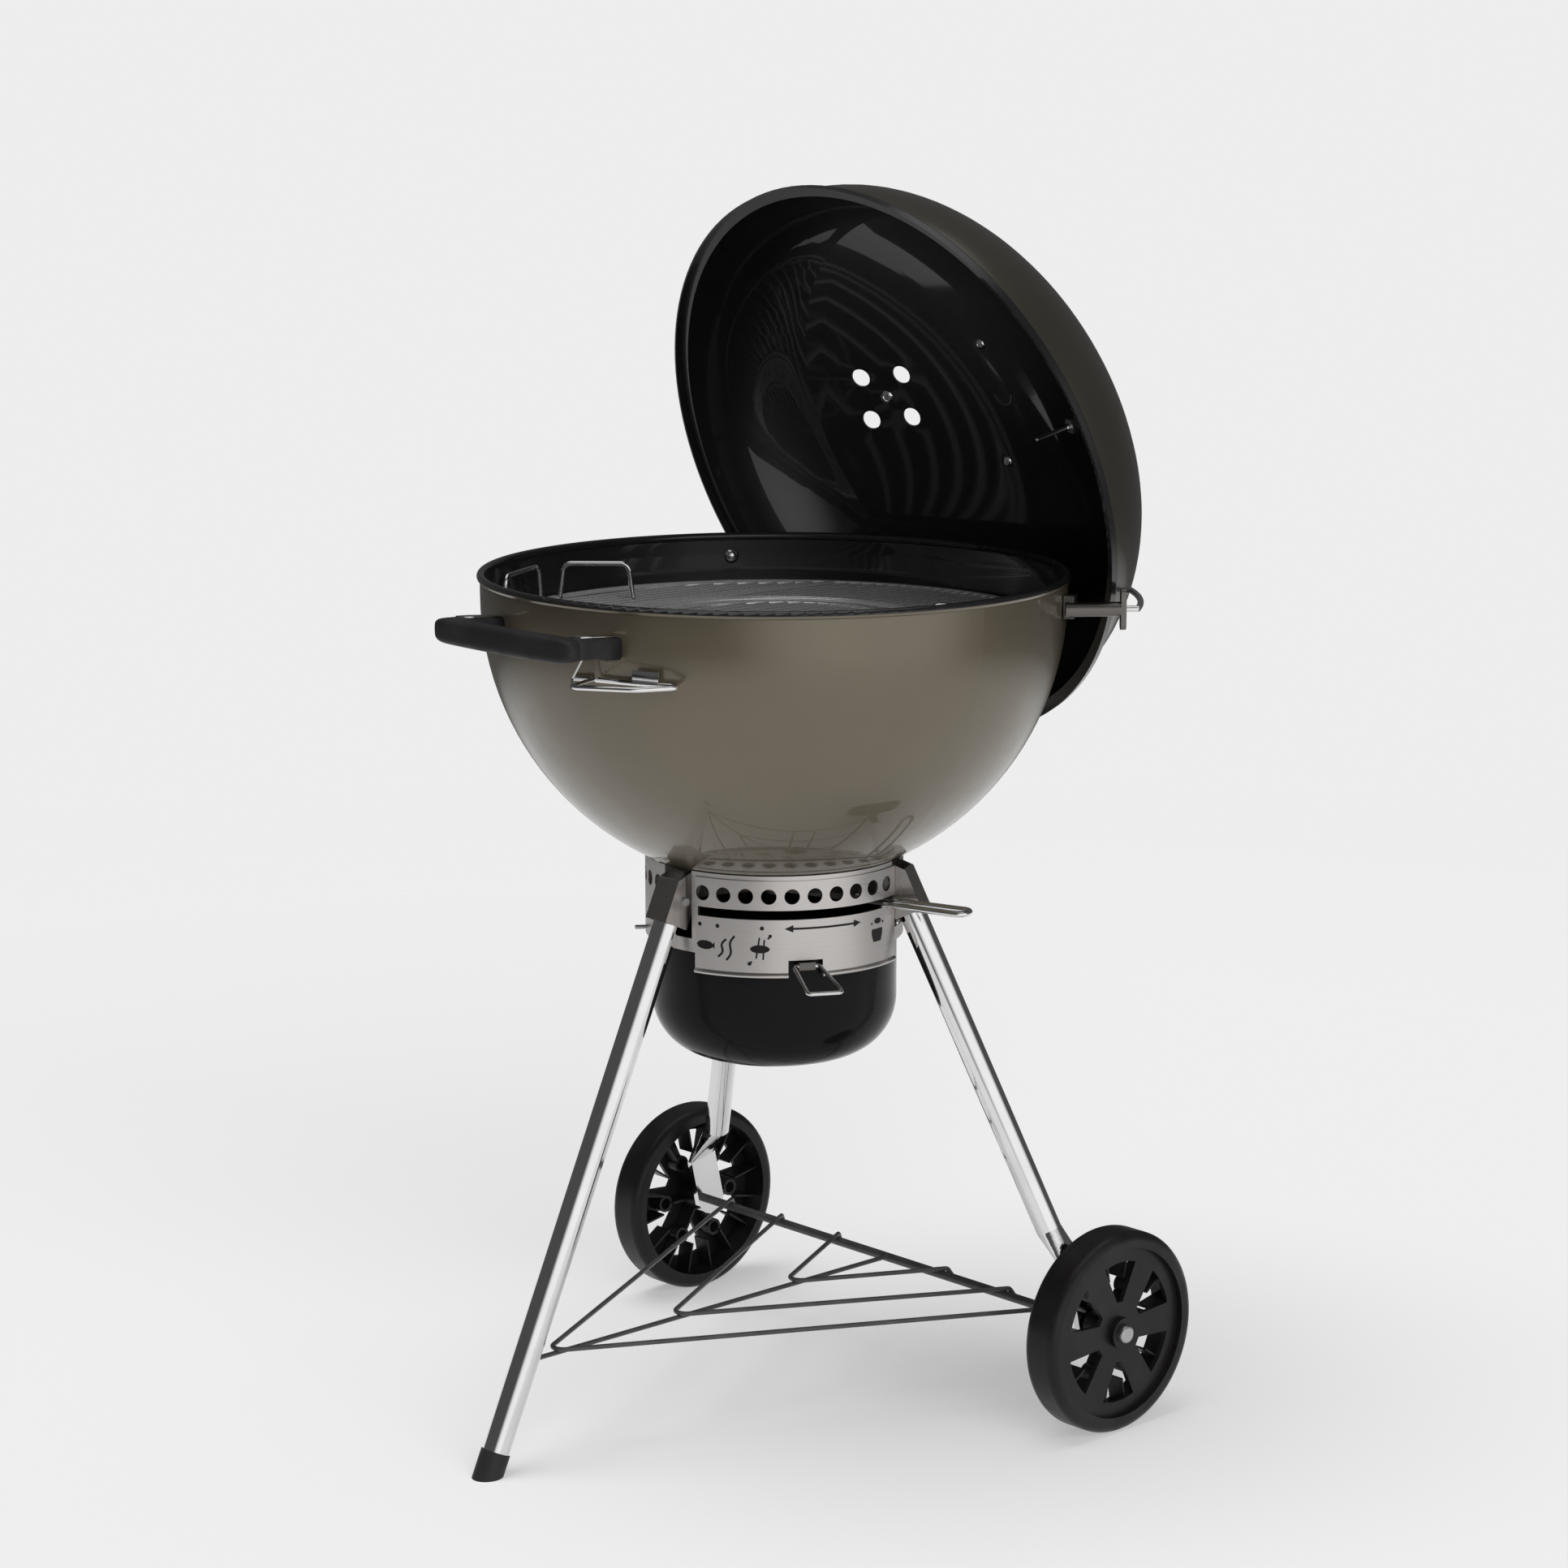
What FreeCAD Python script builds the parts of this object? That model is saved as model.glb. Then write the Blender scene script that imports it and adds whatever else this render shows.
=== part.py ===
"""A kettle charcoal grill on a wheeled tripod, with its lid tucked behind the bowl.

The frame: millimetres, +Z up, the floor at z = 0 and the bowl's axis on x = y = 0. The front,
with the bowl handle and the foot, is -Y; the lid holder and the wheels are at the rear, +Y.
Every driving dimension is a cell of the Dims sheet, and sizes in the document are bound to it.
"""

import FreeCAD, Part
import math
import os
import Sketcher

V = FreeCAD.Vector
Turn = FreeCAD.Rotation
UP = V(0, 0, 1)

DIMENSIONS = {
    # bowl
    "rim_height": 826.6,
    "rim_radius": 286.0,
    "bead_radius": 4.0,
    "bowl_radius": 283.0,
    "bowl_centre_z": 804.6,
    "steel": 1.6,
    # lid, in its own frame: rim plane at z = 0
    "lip_radius": 291.0,
    "lip_step": 281.0,
    "lip_height": 9.0,
    "lid_depth": 178.0,
    "lid_y": 147.3,
    "lid_z": 914.8,
    "lid_tilt": 70.0,
    "vent_reach": 145.0,
    "vent_ring": 33.3,
    "vent_hole": 10.0,
    "damper_radius": 50.0,
    "grip_spacing": 64.0,
    "grip_offset_x": -10.0,
    "grip_offset_y": 8.0,
    "gauge_x": 103.0,
    "gauge_y": 20.0,
    # frame
    "leg_foot_reach": 366.7,
    "leg_slope": 0.456,
    "leg_radius": 12.9,
    "leg_wall": 1.5,
    "leg_top_z": 533.0,
    "wheel_radius": 99.8,
    "wheel_width": 40.0,
    "wheel_x": 304.0,
    "axle_y": 160.6,
    "axle_radius": 4.5,
    "running_gap": 0.05,
    "rack_wire": 2.3,
    # ash catcher
    "ring_radius": 126.2,
    "ring_bottom": 471.0,
    "ring_top": 546.0,
    "panel_radius": 127.6,
    "panel_bottom": 452.0,
    "hole_radius": 7.4,
    "hole_z": 531.0,
    "slot_z": 513.0,
    "slot_height": 9.0,
    "pot_radius": 120.0,
    "pot_top": 482.0,
    "pot_bottom": 342.0,
    "pot_wall": 1.4,
    "lever_angle": 16.0,
    "bail_angle": -29.0,
    # grates
    "grate_z": 776.0,
    "grate_radius": 269.0,
    "frame_wire": 3.0,
    "rod_wire": 1.8,
    "rod_pitch": 13.0,
    "insert_radius": 148.0,
    "hinge_x": 157.0,
    "coal_grate_z": 638.0,
    "coal_grate_radius": 216.0,
    # fittings
    "handle_y": -331.0,
    "handle_z": 792.0,
    "handle_half": 100.0,
    "holder_z": 802.0,
    "holder_angle": 33.6,
    "bolt_radius": 3.0,
}


class Size(float):
    """A number that remembers the sheet expression it was worked out from."""

    def __new__(cls, value, text=None):
        size = super().__new__(cls, value)
        size.text = text or repr(float(value))
        return size

    def _with(self, other, sign, value, swap=False):
        mine, theirs = self.text, getattr(other, "text", repr(float(other)))
        left, right = (theirs, mine) if swap else (mine, theirs)
        return Size(value, f"({left} {sign} {right})")

    def __add__(self, other):
        return self._with(other, "+", float(self) + float(other))

    def __radd__(self, other):
        return self._with(other, "+", float(self) + float(other), swap=True)

    def __sub__(self, other):
        return self._with(other, "-", float(self) - float(other))

    def __rsub__(self, other):
        return self._with(other, "-", float(other) - float(self), swap=True)

    def __mul__(self, other):
        return self._with(other, "*", float(self) * float(other))

    def __rmul__(self, other):
        return self._with(other, "*", float(self) * float(other), swap=True)

    def __truediv__(self, other):
        return self._with(other, "/", float(self) / float(other))

    def __neg__(self):
        return Size(-float(self), f"(-1 * {self.text})")


doc = FreeCAD.newDocument("kettle_grill")
sheet = doc.addObject("Spreadsheet::Sheet", "Dims")
for row, (alias, number) in enumerate(DIMENSIONS.items(), start=1):
    sheet.set(f"A{row}", str(number))
    sheet.setAlias(f"A{row}", alias)
doc.recompute()


class Dims:
    """The sheet's cells as sizes: D.rim_radius is the number and its expression."""


D = Dims()
for alias in DIMENSIONS:
    setattr(D, alias, Size(sheet.get(alias), f"Dims.{alias}"))

PARTS = []


def keep(thing, label):
    """Names an object as a sub-part that is written out."""
    thing.Label = label
    PARTS.append(thing)
    return thing


def bind(thing, **sizes):
    for name, size in sizes.items():
        setattr(thing, name, float(size))
        if getattr(size, "text", "").count("Dims."):
            thing.setExpression(name, size.text)
    return thing


def at(x=0.0, y=0.0, z=0.0, turn=None):
    return FreeCAD.Placement(V(x, y, z), turn or Turn())


def polar(radius, degrees, z=0.0):
    angle = math.radians(degrees)
    return V(radius * math.cos(angle), radius * math.sin(angle), z)


def sphere_z(radius, reach):
    """Height of the bowl's sphere of this radius, at this distance from the axis."""
    return D.bowl_centre_z - math.sqrt(radius**2 - reach**2)


# ---------------------------------------------------------------- sketches and bodies


def arc_through(start, end, radius):
    """The minor arc between two points: anticlockwise for a positive radius."""
    chord = end - start
    half = chord.Length / 2
    rise = math.sqrt(max(radius**2 - half**2, 0.0))
    normal = V(-chord.y, chord.x, 0).normalize()
    side = 1 if radius > 0 else -1
    centre = (start + end) * 0.5 + normal * (rise * side)
    first, last = (start, end) if radius > 0 else (end, start)
    a = math.atan2(first.y - centre.y, first.x - centre.x)
    b = math.atan2(last.y - centre.y, last.x - centre.x)
    if b < a:
        b += 2 * math.pi
    return Part.ArcOfCircle(Part.Circle(centre, UP, abs(radius)), a, b)


def fix(sketch, edge, point, x, y):
    """Holds a sketch point at x, y, bound to the sheet where x or y came from it."""
    for kind, axis, size in (("DistanceX", -2, x), ("DistanceY", -1, y)):
        if float(size) == 0.0:
            sketch.addConstraint(Sketcher.Constraint("PointOnObject", edge, point, axis))
            continue
        index = sketch.addConstraint(Sketcher.Constraint(kind, edge, point, float(size)))
        if getattr(size, "text", "").count("Dims."):
            sketch.setExpression(f"Constraints[{index}]", size.text)


def draw(sketch, outline, circles=()):
    """A closed outline of (x, y) or (x, y, radius of the arc that ends there), and circles."""
    points = [V(float(c[0]), float(c[1]), 0) for c in outline]
    edges, reverse = [], []
    for i, corner in enumerate(outline):
        start, end = points[i - 1], points[i]
        if len(corner) == 3:
            edges.append(arc_through(start, end, float(corner[2])))
            reverse.append(float(corner[2]) < 0)
        else:
            edges.append(Part.LineSegment(start, end))
            reverse.append(False)
    first = len(sketch.Geometry)
    if edges:
        sketch.addGeometry(edges, False)
    for i, corner in enumerate(outline):
        nxt = (i + 1) % len(outline)
        end_point = 1 if reverse[i] else 2
        start_point = 2 if reverse[nxt] else 1
        join = Sketcher.Constraint(
            "Coincident", first + i, end_point, first + nxt, start_point
        )
        sketch.addConstraint(join)
        fix(sketch, first + i, end_point, corner[0], corner[1])
        if len(corner) == 3:
            sketch.addConstraint(
                Sketcher.Constraint("Radius", first + i, abs(float(corner[2])))
            )
    for x, y, radius in circles:
        edge = sketch.addGeometry(
            Part.Circle(V(float(x), float(y), 0), UP, float(radius)), False
        )
        fix(sketch, edge, 3, x, y)
        index = sketch.addConstraint(Sketcher.Constraint("Radius", edge, float(radius)))
        if getattr(radius, "text", "").count("Dims."):
            sketch.setExpression(f"Constraints[{index}]", radius.text)
    return sketch


def sketch_on(body, role, outline=(), circles=(), name="Outline"):
    sketch = body.newObject("Sketcher::SketchObject", name)
    plane = next(f for f in body.Origin.OriginFeatures if f.Role == role)
    sketch.AttachmentSupport = [(plane, "")]
    sketch.MapMode = "FlatFace"
    return draw(sketch, list(outline), circles)


def turned(name, outline, placement=None):
    """A body turned about its own Z from an outline of (radius, z)."""
    body = doc.addObject("PartDesign::Body", name)
    sketch = sketch_on(body, "XZ_Plane", outline)
    turn = body.newObject("PartDesign::Revolution", "Turned")
    turn.Profile = sketch
    turn.ReferenceAxis = (sketch, ["V_Axis"])
    turn.Angle = 360
    if placement:
        body.Placement = placement
    return body


def padded(name, outline, length, circles=(), role="XY_Plane", placement=None, both=False):
    """A body made by pushing an outline out of one of its origin planes."""
    body = doc.addObject("PartDesign::Body", name)
    pad = body.newObject("PartDesign::Pad", "Pushed")
    pad.Profile = sketch_on(body, role, outline, circles)
    bind(pad, Length=length)
    pad.Midplane = both
    if placement:
        body.Placement = placement
    return body


def rounded(body, radius, pick):
    """Fillets the edges of the body's tip that pick chooses."""
    doc.recompute()
    tip = body.Tip
    names = [f"Edge{i}" for i, e in enumerate(tip.Shape.Edges, start=1) if pick(e)]
    fillet = body.newObject("PartDesign::Fillet", "Rounded")
    fillet.Base = (tip, names)
    fillet.Radius = radius
    body.Tip = fillet
    return body


def pocket_ring(body, sketch, count):
    """Cuts a sketch through the body, count times round its Z."""
    doc.recompute()
    before = body.Tip.Shape.Volume
    cut = body.newObject("PartDesign::Pocket", "Cut")
    cut.Profile = sketch
    cut.Type = "ThroughAll"
    cut.Midplane = True
    doc.recompute()
    pattern = body.newObject("PartDesign::PolarPattern", "Round")
    pattern.Originals = [cut]
    pattern.Axis = (sketch, ["N_Axis"])
    pattern.Angle = 360
    pattern.Occurrences = count
    body.Tip = pattern
    doc.recompute()
    if body.Tip.Shape.Volume >= before:
        raise RuntimeError(f"{body.Name}: the cut removed nothing")
    return body


# ---------------------------------------------------------------- primitives and booleans


def cylinder(radius, height, placement, angle=360.0):
    thing = doc.addObject("Part::Cylinder", "Rod")
    bind(thing, Radius=radius, Height=height, Angle=angle)
    thing.Placement = placement
    return thing


def box(length, width, height, placement):
    """A box centred on its placement in x and y, standing on it in z."""
    thing = doc.addObject("Part::Box", "Block")
    bind(thing, Length=length, Width=width, Height=height)
    thing.Placement = placement * at(-float(length) / 2, -float(width) / 2, 0)
    return thing


def torus(radius, wire, placement, angle=360.0):
    thing = doc.addObject("Part::Torus", "Ring")
    bind(thing, Radius1=radius, Radius2=wire, Angle3=angle)
    thing.Placement = placement
    return thing


def rod(start, end, radius):
    run = end - start
    return cylinder(radius, run.Length, FreeCAD.Placement(start, Turn(UP, run)))


def fuse(*things):
    joined = doc.addObject("Part::MultiFuse", "Joined")
    joined.Shapes = list(things)
    joined.Refine = False
    return joined


def cut(base, *tools):
    left = doc.addObject("Part::Cut", "Trimmed")
    left.Base = base
    left.Tool = tools[0] if len(tools) == 1 else fuse(*tools)
    return left


def common(base, tool):
    both = doc.addObject("Part::MultiCommon", "Shared")
    both.Shapes = [base, tool]
    return both


def group(label, things):
    """Separate solids that share one node."""
    gathered = doc.addObject("Part::Compound", "Group")
    gathered.Links = list(things)
    return keep(gathered, label)


def wire_path(points, bends):
    """Straight runs through the points, joined by tangent arcs of the given radii."""
    edges, last = [], points[0]
    for i in range(1, len(points) - 1):
        into = (points[i] - points[i - 1]).normalize()
        out = (points[i + 1] - points[i]).normalize()
        half = into.getAngle(out) / 2
        reach = bends[i - 1] * math.tan(half)
        start, end = points[i] - into * reach, points[i] + out * reach
        inward = (out - into).normalize()
        middle = points[i] + inward * (bends[i - 1] / math.cos(half) - bends[i - 1])
        if (start - last).Length > 1e-6:
            edges.append(Part.LineSegment(last, start).toShape())
        edges.append(Part.Arc(start, middle, end).toShape())
        last = end
    edges.append(Part.LineSegment(last, points[-1]).toShape())
    return Part.Wire(edges)


def bent_wire(points, bends, radius):
    """A round wire swept along a path that no flat sketch holds."""
    if isinstance(bends, (int, float)):
        bends = [bends] * (len(points) - 2)
    path = wire_path(points, bends)
    start = path.Edges[0]
    along = start.tangentAt(start.FirstParameter)
    section = Part.Wire(Part.Circle(points[0], along, float(radius)).toShape())
    thing = doc.addObject("Part::Feature", "Wire")
    thing.Shape = path.makePipeShell([section], True, False)
    return thing


def closed_loop(points, bends, radius):
    """A closed round wire with a bend at every corner."""
    if isinstance(bends, (int, float)):
        bends = [bends] * len(points)
    start = (points[0] + points[-1]) * 0.5
    path = wire_path([start] + list(points) + [start], bends)
    first = path.Edges[0]
    along = first.tangentAt(first.FirstParameter)
    section = Part.Wire(Part.Circle(start, along, float(radius)).toShape())
    thing = doc.addObject("Part::Feature", "Loop")
    thing.Shape = path.makePipeShell([section], True, False)
    return thing


def bolt(name, placement, shank, length, head=6.5, dome=4.0, nut=5.0):
    """A dome-headed bolt along its own +Z, head below z = 0 and nut above length."""
    outline = [
        (0, -dome),
        (head, 0, 1.3 * head),
        (shank, 0),
        (shank, length),
        (nut, length),
        (nut, length + 4),
        (0, length + 4),
    ]
    return turned(name, outline, placement)


# ---------------------------------------------------------------- bowl


def make_bowl():
    wall = D.bowl_radius - D.steel
    bead_x = D.rim_radius - D.bead_radius
    bead_z = D.rim_height - D.bead_radius
    outside = bead_z - math.sqrt(D.bead_radius**2 - (D.bowl_radius - bead_x) ** 2)
    inside = bead_z - math.sqrt(D.bead_radius**2 - (wall - bead_x) ** 2)
    outline = [
        (0, D.bowl_centre_z - D.bowl_radius),
        (D.bowl_radius, D.bowl_centre_z, D.bowl_radius),
        (D.bowl_radius, outside),
        (D.rim_radius, bead_z, D.bead_radius),
        (bead_x, D.rim_height, D.bead_radius),
        (bead_x - D.bead_radius, bead_z, D.bead_radius),
        (wall, inside, D.bead_radius),
        (wall, D.bowl_centre_z),
        (0, D.bowl_centre_z - wall, -float(wall)),
    ]
    shell = turned("BowlShell", outline)
    slots = [
        sector_prism(38.0, 104.0, 15.0, centre) for centre in (-90.0, 30.0, 150.0)
    ]
    pin_hole = cylinder(5.0 + D.running_gap, 60, at(0, 0, 500))
    holes = [
        rod(polar(250, a, D.holder_z), polar(300, a, D.holder_z), D.bolt_radius)
        for a in HOLDER_ANGLES
    ]
    holes += [rod(V(x, -240, D.handle_z), V(x, -300, D.handle_z), D.bolt_radius) for x in ARMS_X]
    keep(cut(shell, pin_hole, *slots, *holes), "bowl")


HOLDER_ANGLES = (float(D.holder_angle), 180.0 - float(D.holder_angle))
ARMS_X = (-84.0, 84.0)


def sector_prism(inner, outer, half, centre, low=490.0, height=90.0):
    """An upright sector of a ring, centred on an angle."""
    side = math.radians(half)
    outline = [
        (outer * math.cos(side), -outer * math.sin(side)),
        (outer * math.cos(side), outer * math.sin(side), outer),
        (inner * math.cos(side), inner * math.sin(side)),
        (inner * math.cos(side), -inner * math.sin(side), -inner),
    ]
    return padded("Sector", outline, height, placement=at(0, 0, low, Turn(UP, centre)))


def make_bowl_fittings():
    tabs = [
        box(14, 20, 2, at(0, 0, 0, Turn(UP, a)) * at(272.0, 0, D.grate_z - D.frame_wire - 2.3))
        for a in (45, 135, 225, 315)
    ]
    low_z = D.coal_grate_z - D.frame_wire - 2.3
    low_tabs = [
        box(14, 20, 2, at(0, 0, 0, Turn(UP, a)) * at(214.5, 0, low_z)) for a in (0, 90, 180, 270)
    ]
    group("grate_brackets", tabs + low_tabs)


def make_bowl_handle():
    """The front grip: a bar on two arms, bolted to the bowl's wall."""
    half, depth, arm = D.handle_half, 11.0, 26.0
    inner_y = D.handle_y + depth
    arm_x = abs(ARMS_X[0])
    near = D.bowl_radius + 0.2
    reach = [-math.sqrt(near**2 - x**2) for x in (arm_x + arm / 2, arm_x - arm / 2)]
    outline = [
        (-half, D.handle_y - depth),
        (half, D.handle_y - depth),
        (half, inner_y),
        (arm_x + arm / 2, inner_y),
        (arm_x + arm / 2, reach[0]),
        (arm_x - arm / 2, reach[1], -float(near)),
        (arm_x - arm / 2, inner_y),
        (-(arm_x - arm / 2), inner_y),
        (-(arm_x - arm / 2), reach[1]),
        (-(arm_x + arm / 2), reach[0], -float(near)),
        (-(arm_x + arm / 2), inner_y),
        (-half, inner_y),
    ]
    grip = padded("Grip", outline, 24.0, placement=at(0, 0, D.handle_z - 12.0), both=False)
    rounded(grip, 7.0, lambda e: lengthwise(e, D.handle_y - depth))
    bores = [
        rod(V(x, -240, D.handle_z), V(x, -360, D.handle_z), D.bolt_radius) for x in ARMS_X
    ]
    seats = [rod(V(x, -322, D.handle_z), V(x, -360, D.handle_z), 6.8) for x in ARMS_X]
    keep(cut(grip, *bores, *seats), "bowl_handle")
    bolts = []
    for i, x in enumerate(ARMS_X):
        wall_y = -math.sqrt(float(D.bowl_radius - D.steel) ** 2 - x**2)
        turn = Turn(UP, V(0, 1, 0))
        length = 322.0 + wall_y + 1.6
        bolts.append(
            bolt(f"HandleBolt{i}", at(x, -322.0, D.handle_z, turn), D.bolt_radius - 0.05, length)
        )
    group("handle_bolts", bolts)


def lengthwise(edge, y):
    """True for an edge that runs along X on the plane at this y."""
    box_ = edge.BoundBox
    return abs(box_.YMin - y) < 0.01 and abs(box_.YMax - y) < 0.01 and box_.XLength > 50


def make_tool_hook():
    """The chrome hook at the handle's right end: a gusset, an oval wire tray and a tab."""
    tray_z = 757.0
    hug = 285.0
    start, tip = polar(hug, -77.5, tray_z), polar(hug, -57.5, tray_z)
    outer = V(79.0, -321.0, tray_z)
    bulge = V(132.0, -288.0, tray_z)
    back = polar(hug, -67.5, tray_z)
    tray = closed_loop([start, outer, bulge, tip, back], [4.0, 7.0, 40.0, 7.0, 60.0], 2.5)
    foot = start + V(0, 0, -1.0)
    run = (outer - start).normalize()
    gusset = padded(
        "Gusset",
        [(0, 0), (44.0, 0), (40.0, 8.0), (8.0, 33.0), (0, 33.0)],
        2.0,
        role="XY_Plane",
        placement=FreeCAD.Placement(foot, Turn(run, UP, run.cross(UP), "ZXY")),
    )
    tab_at = polar(hug + 1.0, -66.5, tray_z)
    tab = box(2.0, 26.0, 12.0, FreeCAD.Placement(tab_at, Turn(UP, -66.5)))
    keep(fuse(tray, gusset, tab), "tool_hook")


# ---------------------------------------------------------------- lid holder


HOLDER_END = V(277.0, 194.0, float(D.holder_z) - 4.0)
HOOP_REACH = 354.0


def make_lid_holder():
    """The cradle behind the bowl that takes the open lid: two arms and a hoop."""
    low_z = HOLDER_END.z
    arms, plates, stubs = [], [], []
    for side in (1, -1):
        start = V(side * 243.0, 150.0, low_z)
        end = V(side * HOLDER_END.x, HOLDER_END.y, low_z)
        angle = float(D.holder_angle) if side > 0 else 180.0 - float(D.holder_angle)
        foot = box(10, 18, 22, at(0, 0, 0, Turn(UP, angle)) * at(289.0, 0, D.holder_z - 13.0))
        along = (end - start).normalize()
        arm = fuse(rod(start, end - along * 2.5, 7.0), foot)
        bowl_side = cylinder(D.bowl_radius + 0.15, 80, at(0, 0, D.holder_z - 40))
        seat = rod(polar(270, angle, D.holder_z), polar(292, angle, D.holder_z), D.bolt_radius)
        arms.append(cut(arm, bowl_side, seat))
        plate_turn = Turn(V(1, 0, 0), along)
        slab = box(5.0, 10.0, 30.0, FreeCAD.Placement(end + V(0, 0, -15), plate_turn))
        tips = []
        for rise in (-15.0, 15.0):
            middle = end + V(0, 0, rise)
            tips.append(rod(middle - along * 2.5, middle + along * 2.5, 5.0))
        plates.append(cut(fuse(slab, *tips), rod(end, end + along * 20, 3.05)))
        corner = end + along * 14.0
        stubs.append(rod(end + along * 0.1, corner, 3.0))
        curl_turn = Turn(UP, side * 52.0) * Turn(V(1, 0, 0), 90)
        stubs.append(torus(7.5, 2.4, FreeCAD.Placement(corner + V(0, 0, 8.0), curl_turn)))
    group("lid_holder_arms", arms)
    group("lid_holder_plates", plates)
    rise = HOOP_REACH - corner.y
    radius = (corner.x**2 + rise**2) / (2 * rise)
    centre_y = HOOP_REACH - radius
    start = math.degrees(math.atan2(corner.y - centre_y, abs(corner.x)))
    hoop = torus(radius, 3.0, at(0, centre_y, low_z, Turn(UP, start)), 180.0 - 2 * start)
    keep(fuse(hoop, *stubs), "lid_holder_hoop")
    bolts = []
    for i, angle in enumerate(HOLDER_ANGLES):
        inner = D.bowl_radius - D.steel
        turn = Turn(UP, polar(1, angle))
        shank = D.bolt_radius - 0.05
        place = FreeCAD.Placement(polar(inner, angle, D.holder_z), turn)
        outline = [(0, -4.0), (7.5, -0.15, 10.0), (shank, -0.15), (shank, 10.0), (0, 10.0)]
        bolts.append(turned(f"HolderBolt{i}", outline, place))
    group("lid_holder_bolts", bolts)


# ---------------------------------------------------------------- ash catcher


LEG_ANGLES = {"front": -90.0, "right": 30.0, "left": 150.0}


def radial_holes(groups):
    holes = []
    for centre in groups:
        for i in range(10):
            a = centre + 10.0 * (i - 4.5)
            holes.append(rod(polar(110, a, D.hole_z), polar(140, a, D.hole_z), D.hole_radius))
    return holes


def lever_slot():
    low = float(D.slot_z - D.slot_height / 2)
    return sector_prism(120.0, 140.0, 49.9, -27.6, low, float(D.slot_height))


def make_ash_ring():
    """The stainless band under the bowl, and the lettering-free panel on its front."""
    inner = D.ring_radius - 1.2
    top = sphere_z(D.bowl_radius, inner) - 0.3
    band = turned(
        "Band",
        [(inner, D.ring_bottom), (D.ring_radius, D.ring_bottom), (D.ring_radius, top), (inner, top)],
    )
    notches = [sector_prism(100.0, 150.0, 8.8, a, 484.0, 90.0) for a in LEG_ANGLES.values()]
    pins = [rod(polar(100, a, 477), polar(140, a, 477), 2.0) for a in PIN_ANGLES]
    trimmed = cut(band, lever_slot(), *notches, *pins, *radial_holes((-30.0, 90.0, 210.0)))
    keep(trimmed, "ash_ring")

    back = D.ring_radius + 0.1
    lip = D.panel_radius + 0.6
    sheet_outline = [
        (back, D.panel_bottom),
        (lip, D.panel_bottom),
        (lip, D.panel_bottom + 4.0, 2.2),
        (D.panel_radius, D.panel_bottom + 5.0),
        (D.panel_radius, D.ring_top),
        (back, D.ring_top),
    ]
    wrap = turned("Wrap", sheet_outline)
    front = common(wrap, sector_prism(100.0, 150.0, 51.0, -28.0, 400.0, 200.0))
    notch = sector_prism(100.0, 150.0, 7.6, D.bail_angle, 440.0, 29.0)
    panel = cut(front, lever_slot(), notch, *radial_holes((-30.0,)))
    keep(panel, "control_panel")
    group("pot_latch_pins", [rod(polar(122.2, a, 477), polar(137, a, 477), 2.0) for a in PIN_ANGLES])


PIN_ANGLES = (-125.0, 55.0)


def pot_profile(radius, floor, dome, tangent):
    """Points of a round-bottomed pot: a shallow dome, a corner arc and a straight side."""
    side = math.radians(tangent)
    reach = dome * math.sin(side)
    corner = (radius - reach) / (1 - math.sin(side))
    low = floor + dome * (1 - math.cos(side))
    high = low + corner * math.cos(side)
    return reach, low, corner, high


def make_ash_pot():
    dome, tangent = 300.0, 15.0
    floor = D.pot_bottom
    wall = D.pot_wall
    reach, low, corner, high = pot_profile(D.pot_radius, floor, dome, tangent)
    reach_in, low_in, corner_in, high_in = pot_profile(
        D.pot_radius - wall, floor + wall, dome - wall, tangent
    )
    outline = [
        (0, floor),
        (reach, low, dome),
        (D.pot_radius, high, corner),
        (D.pot_radius, D.pot_top),
        (D.pot_radius - wall, D.pot_top),
        (D.pot_radius - wall, high_in),
        (reach_in, low_in, -corner_in),
        (0, floor + wall, -(dome - wall)),
    ]
    keep(turned("Pot", outline), "ash_pot")
    tangent_way = polar(1, D.bail_angle + 90)
    hinge = polar(130.5, D.bail_angle, 464.0)
    block = box(10.0, 16.0, 7.0, at(0, 0, 0, Turn(UP, D.bail_angle)) * at(128.5, 0, 460.5))
    pot_side = cylinder(D.pot_radius, 60, at(0, 0, 430))
    bore = rod(hinge - tangent_way * 20, hinge + tangent_way * 20, 2.0 + D.running_gap)
    keep(cut(block, pot_side, bore), "bail_bracket")
    out = polar(1, D.bail_angle)
    tilt = math.radians(75.0)
    fall = out * math.sin(tilt) - V(0, 0, math.cos(tilt))
    reach = fall * 55.0 + tangent_way * 5.0
    corners = [
        hinge + tangent_way * 12.5,
        hinge + tangent_way * 17.0 + reach,
        hinge - tangent_way * 17.0 + reach,
        hinge - tangent_way * 12.5,
    ]
    keep(closed_loop(corners, 4.0, 2.0), "pot_bail")


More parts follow.
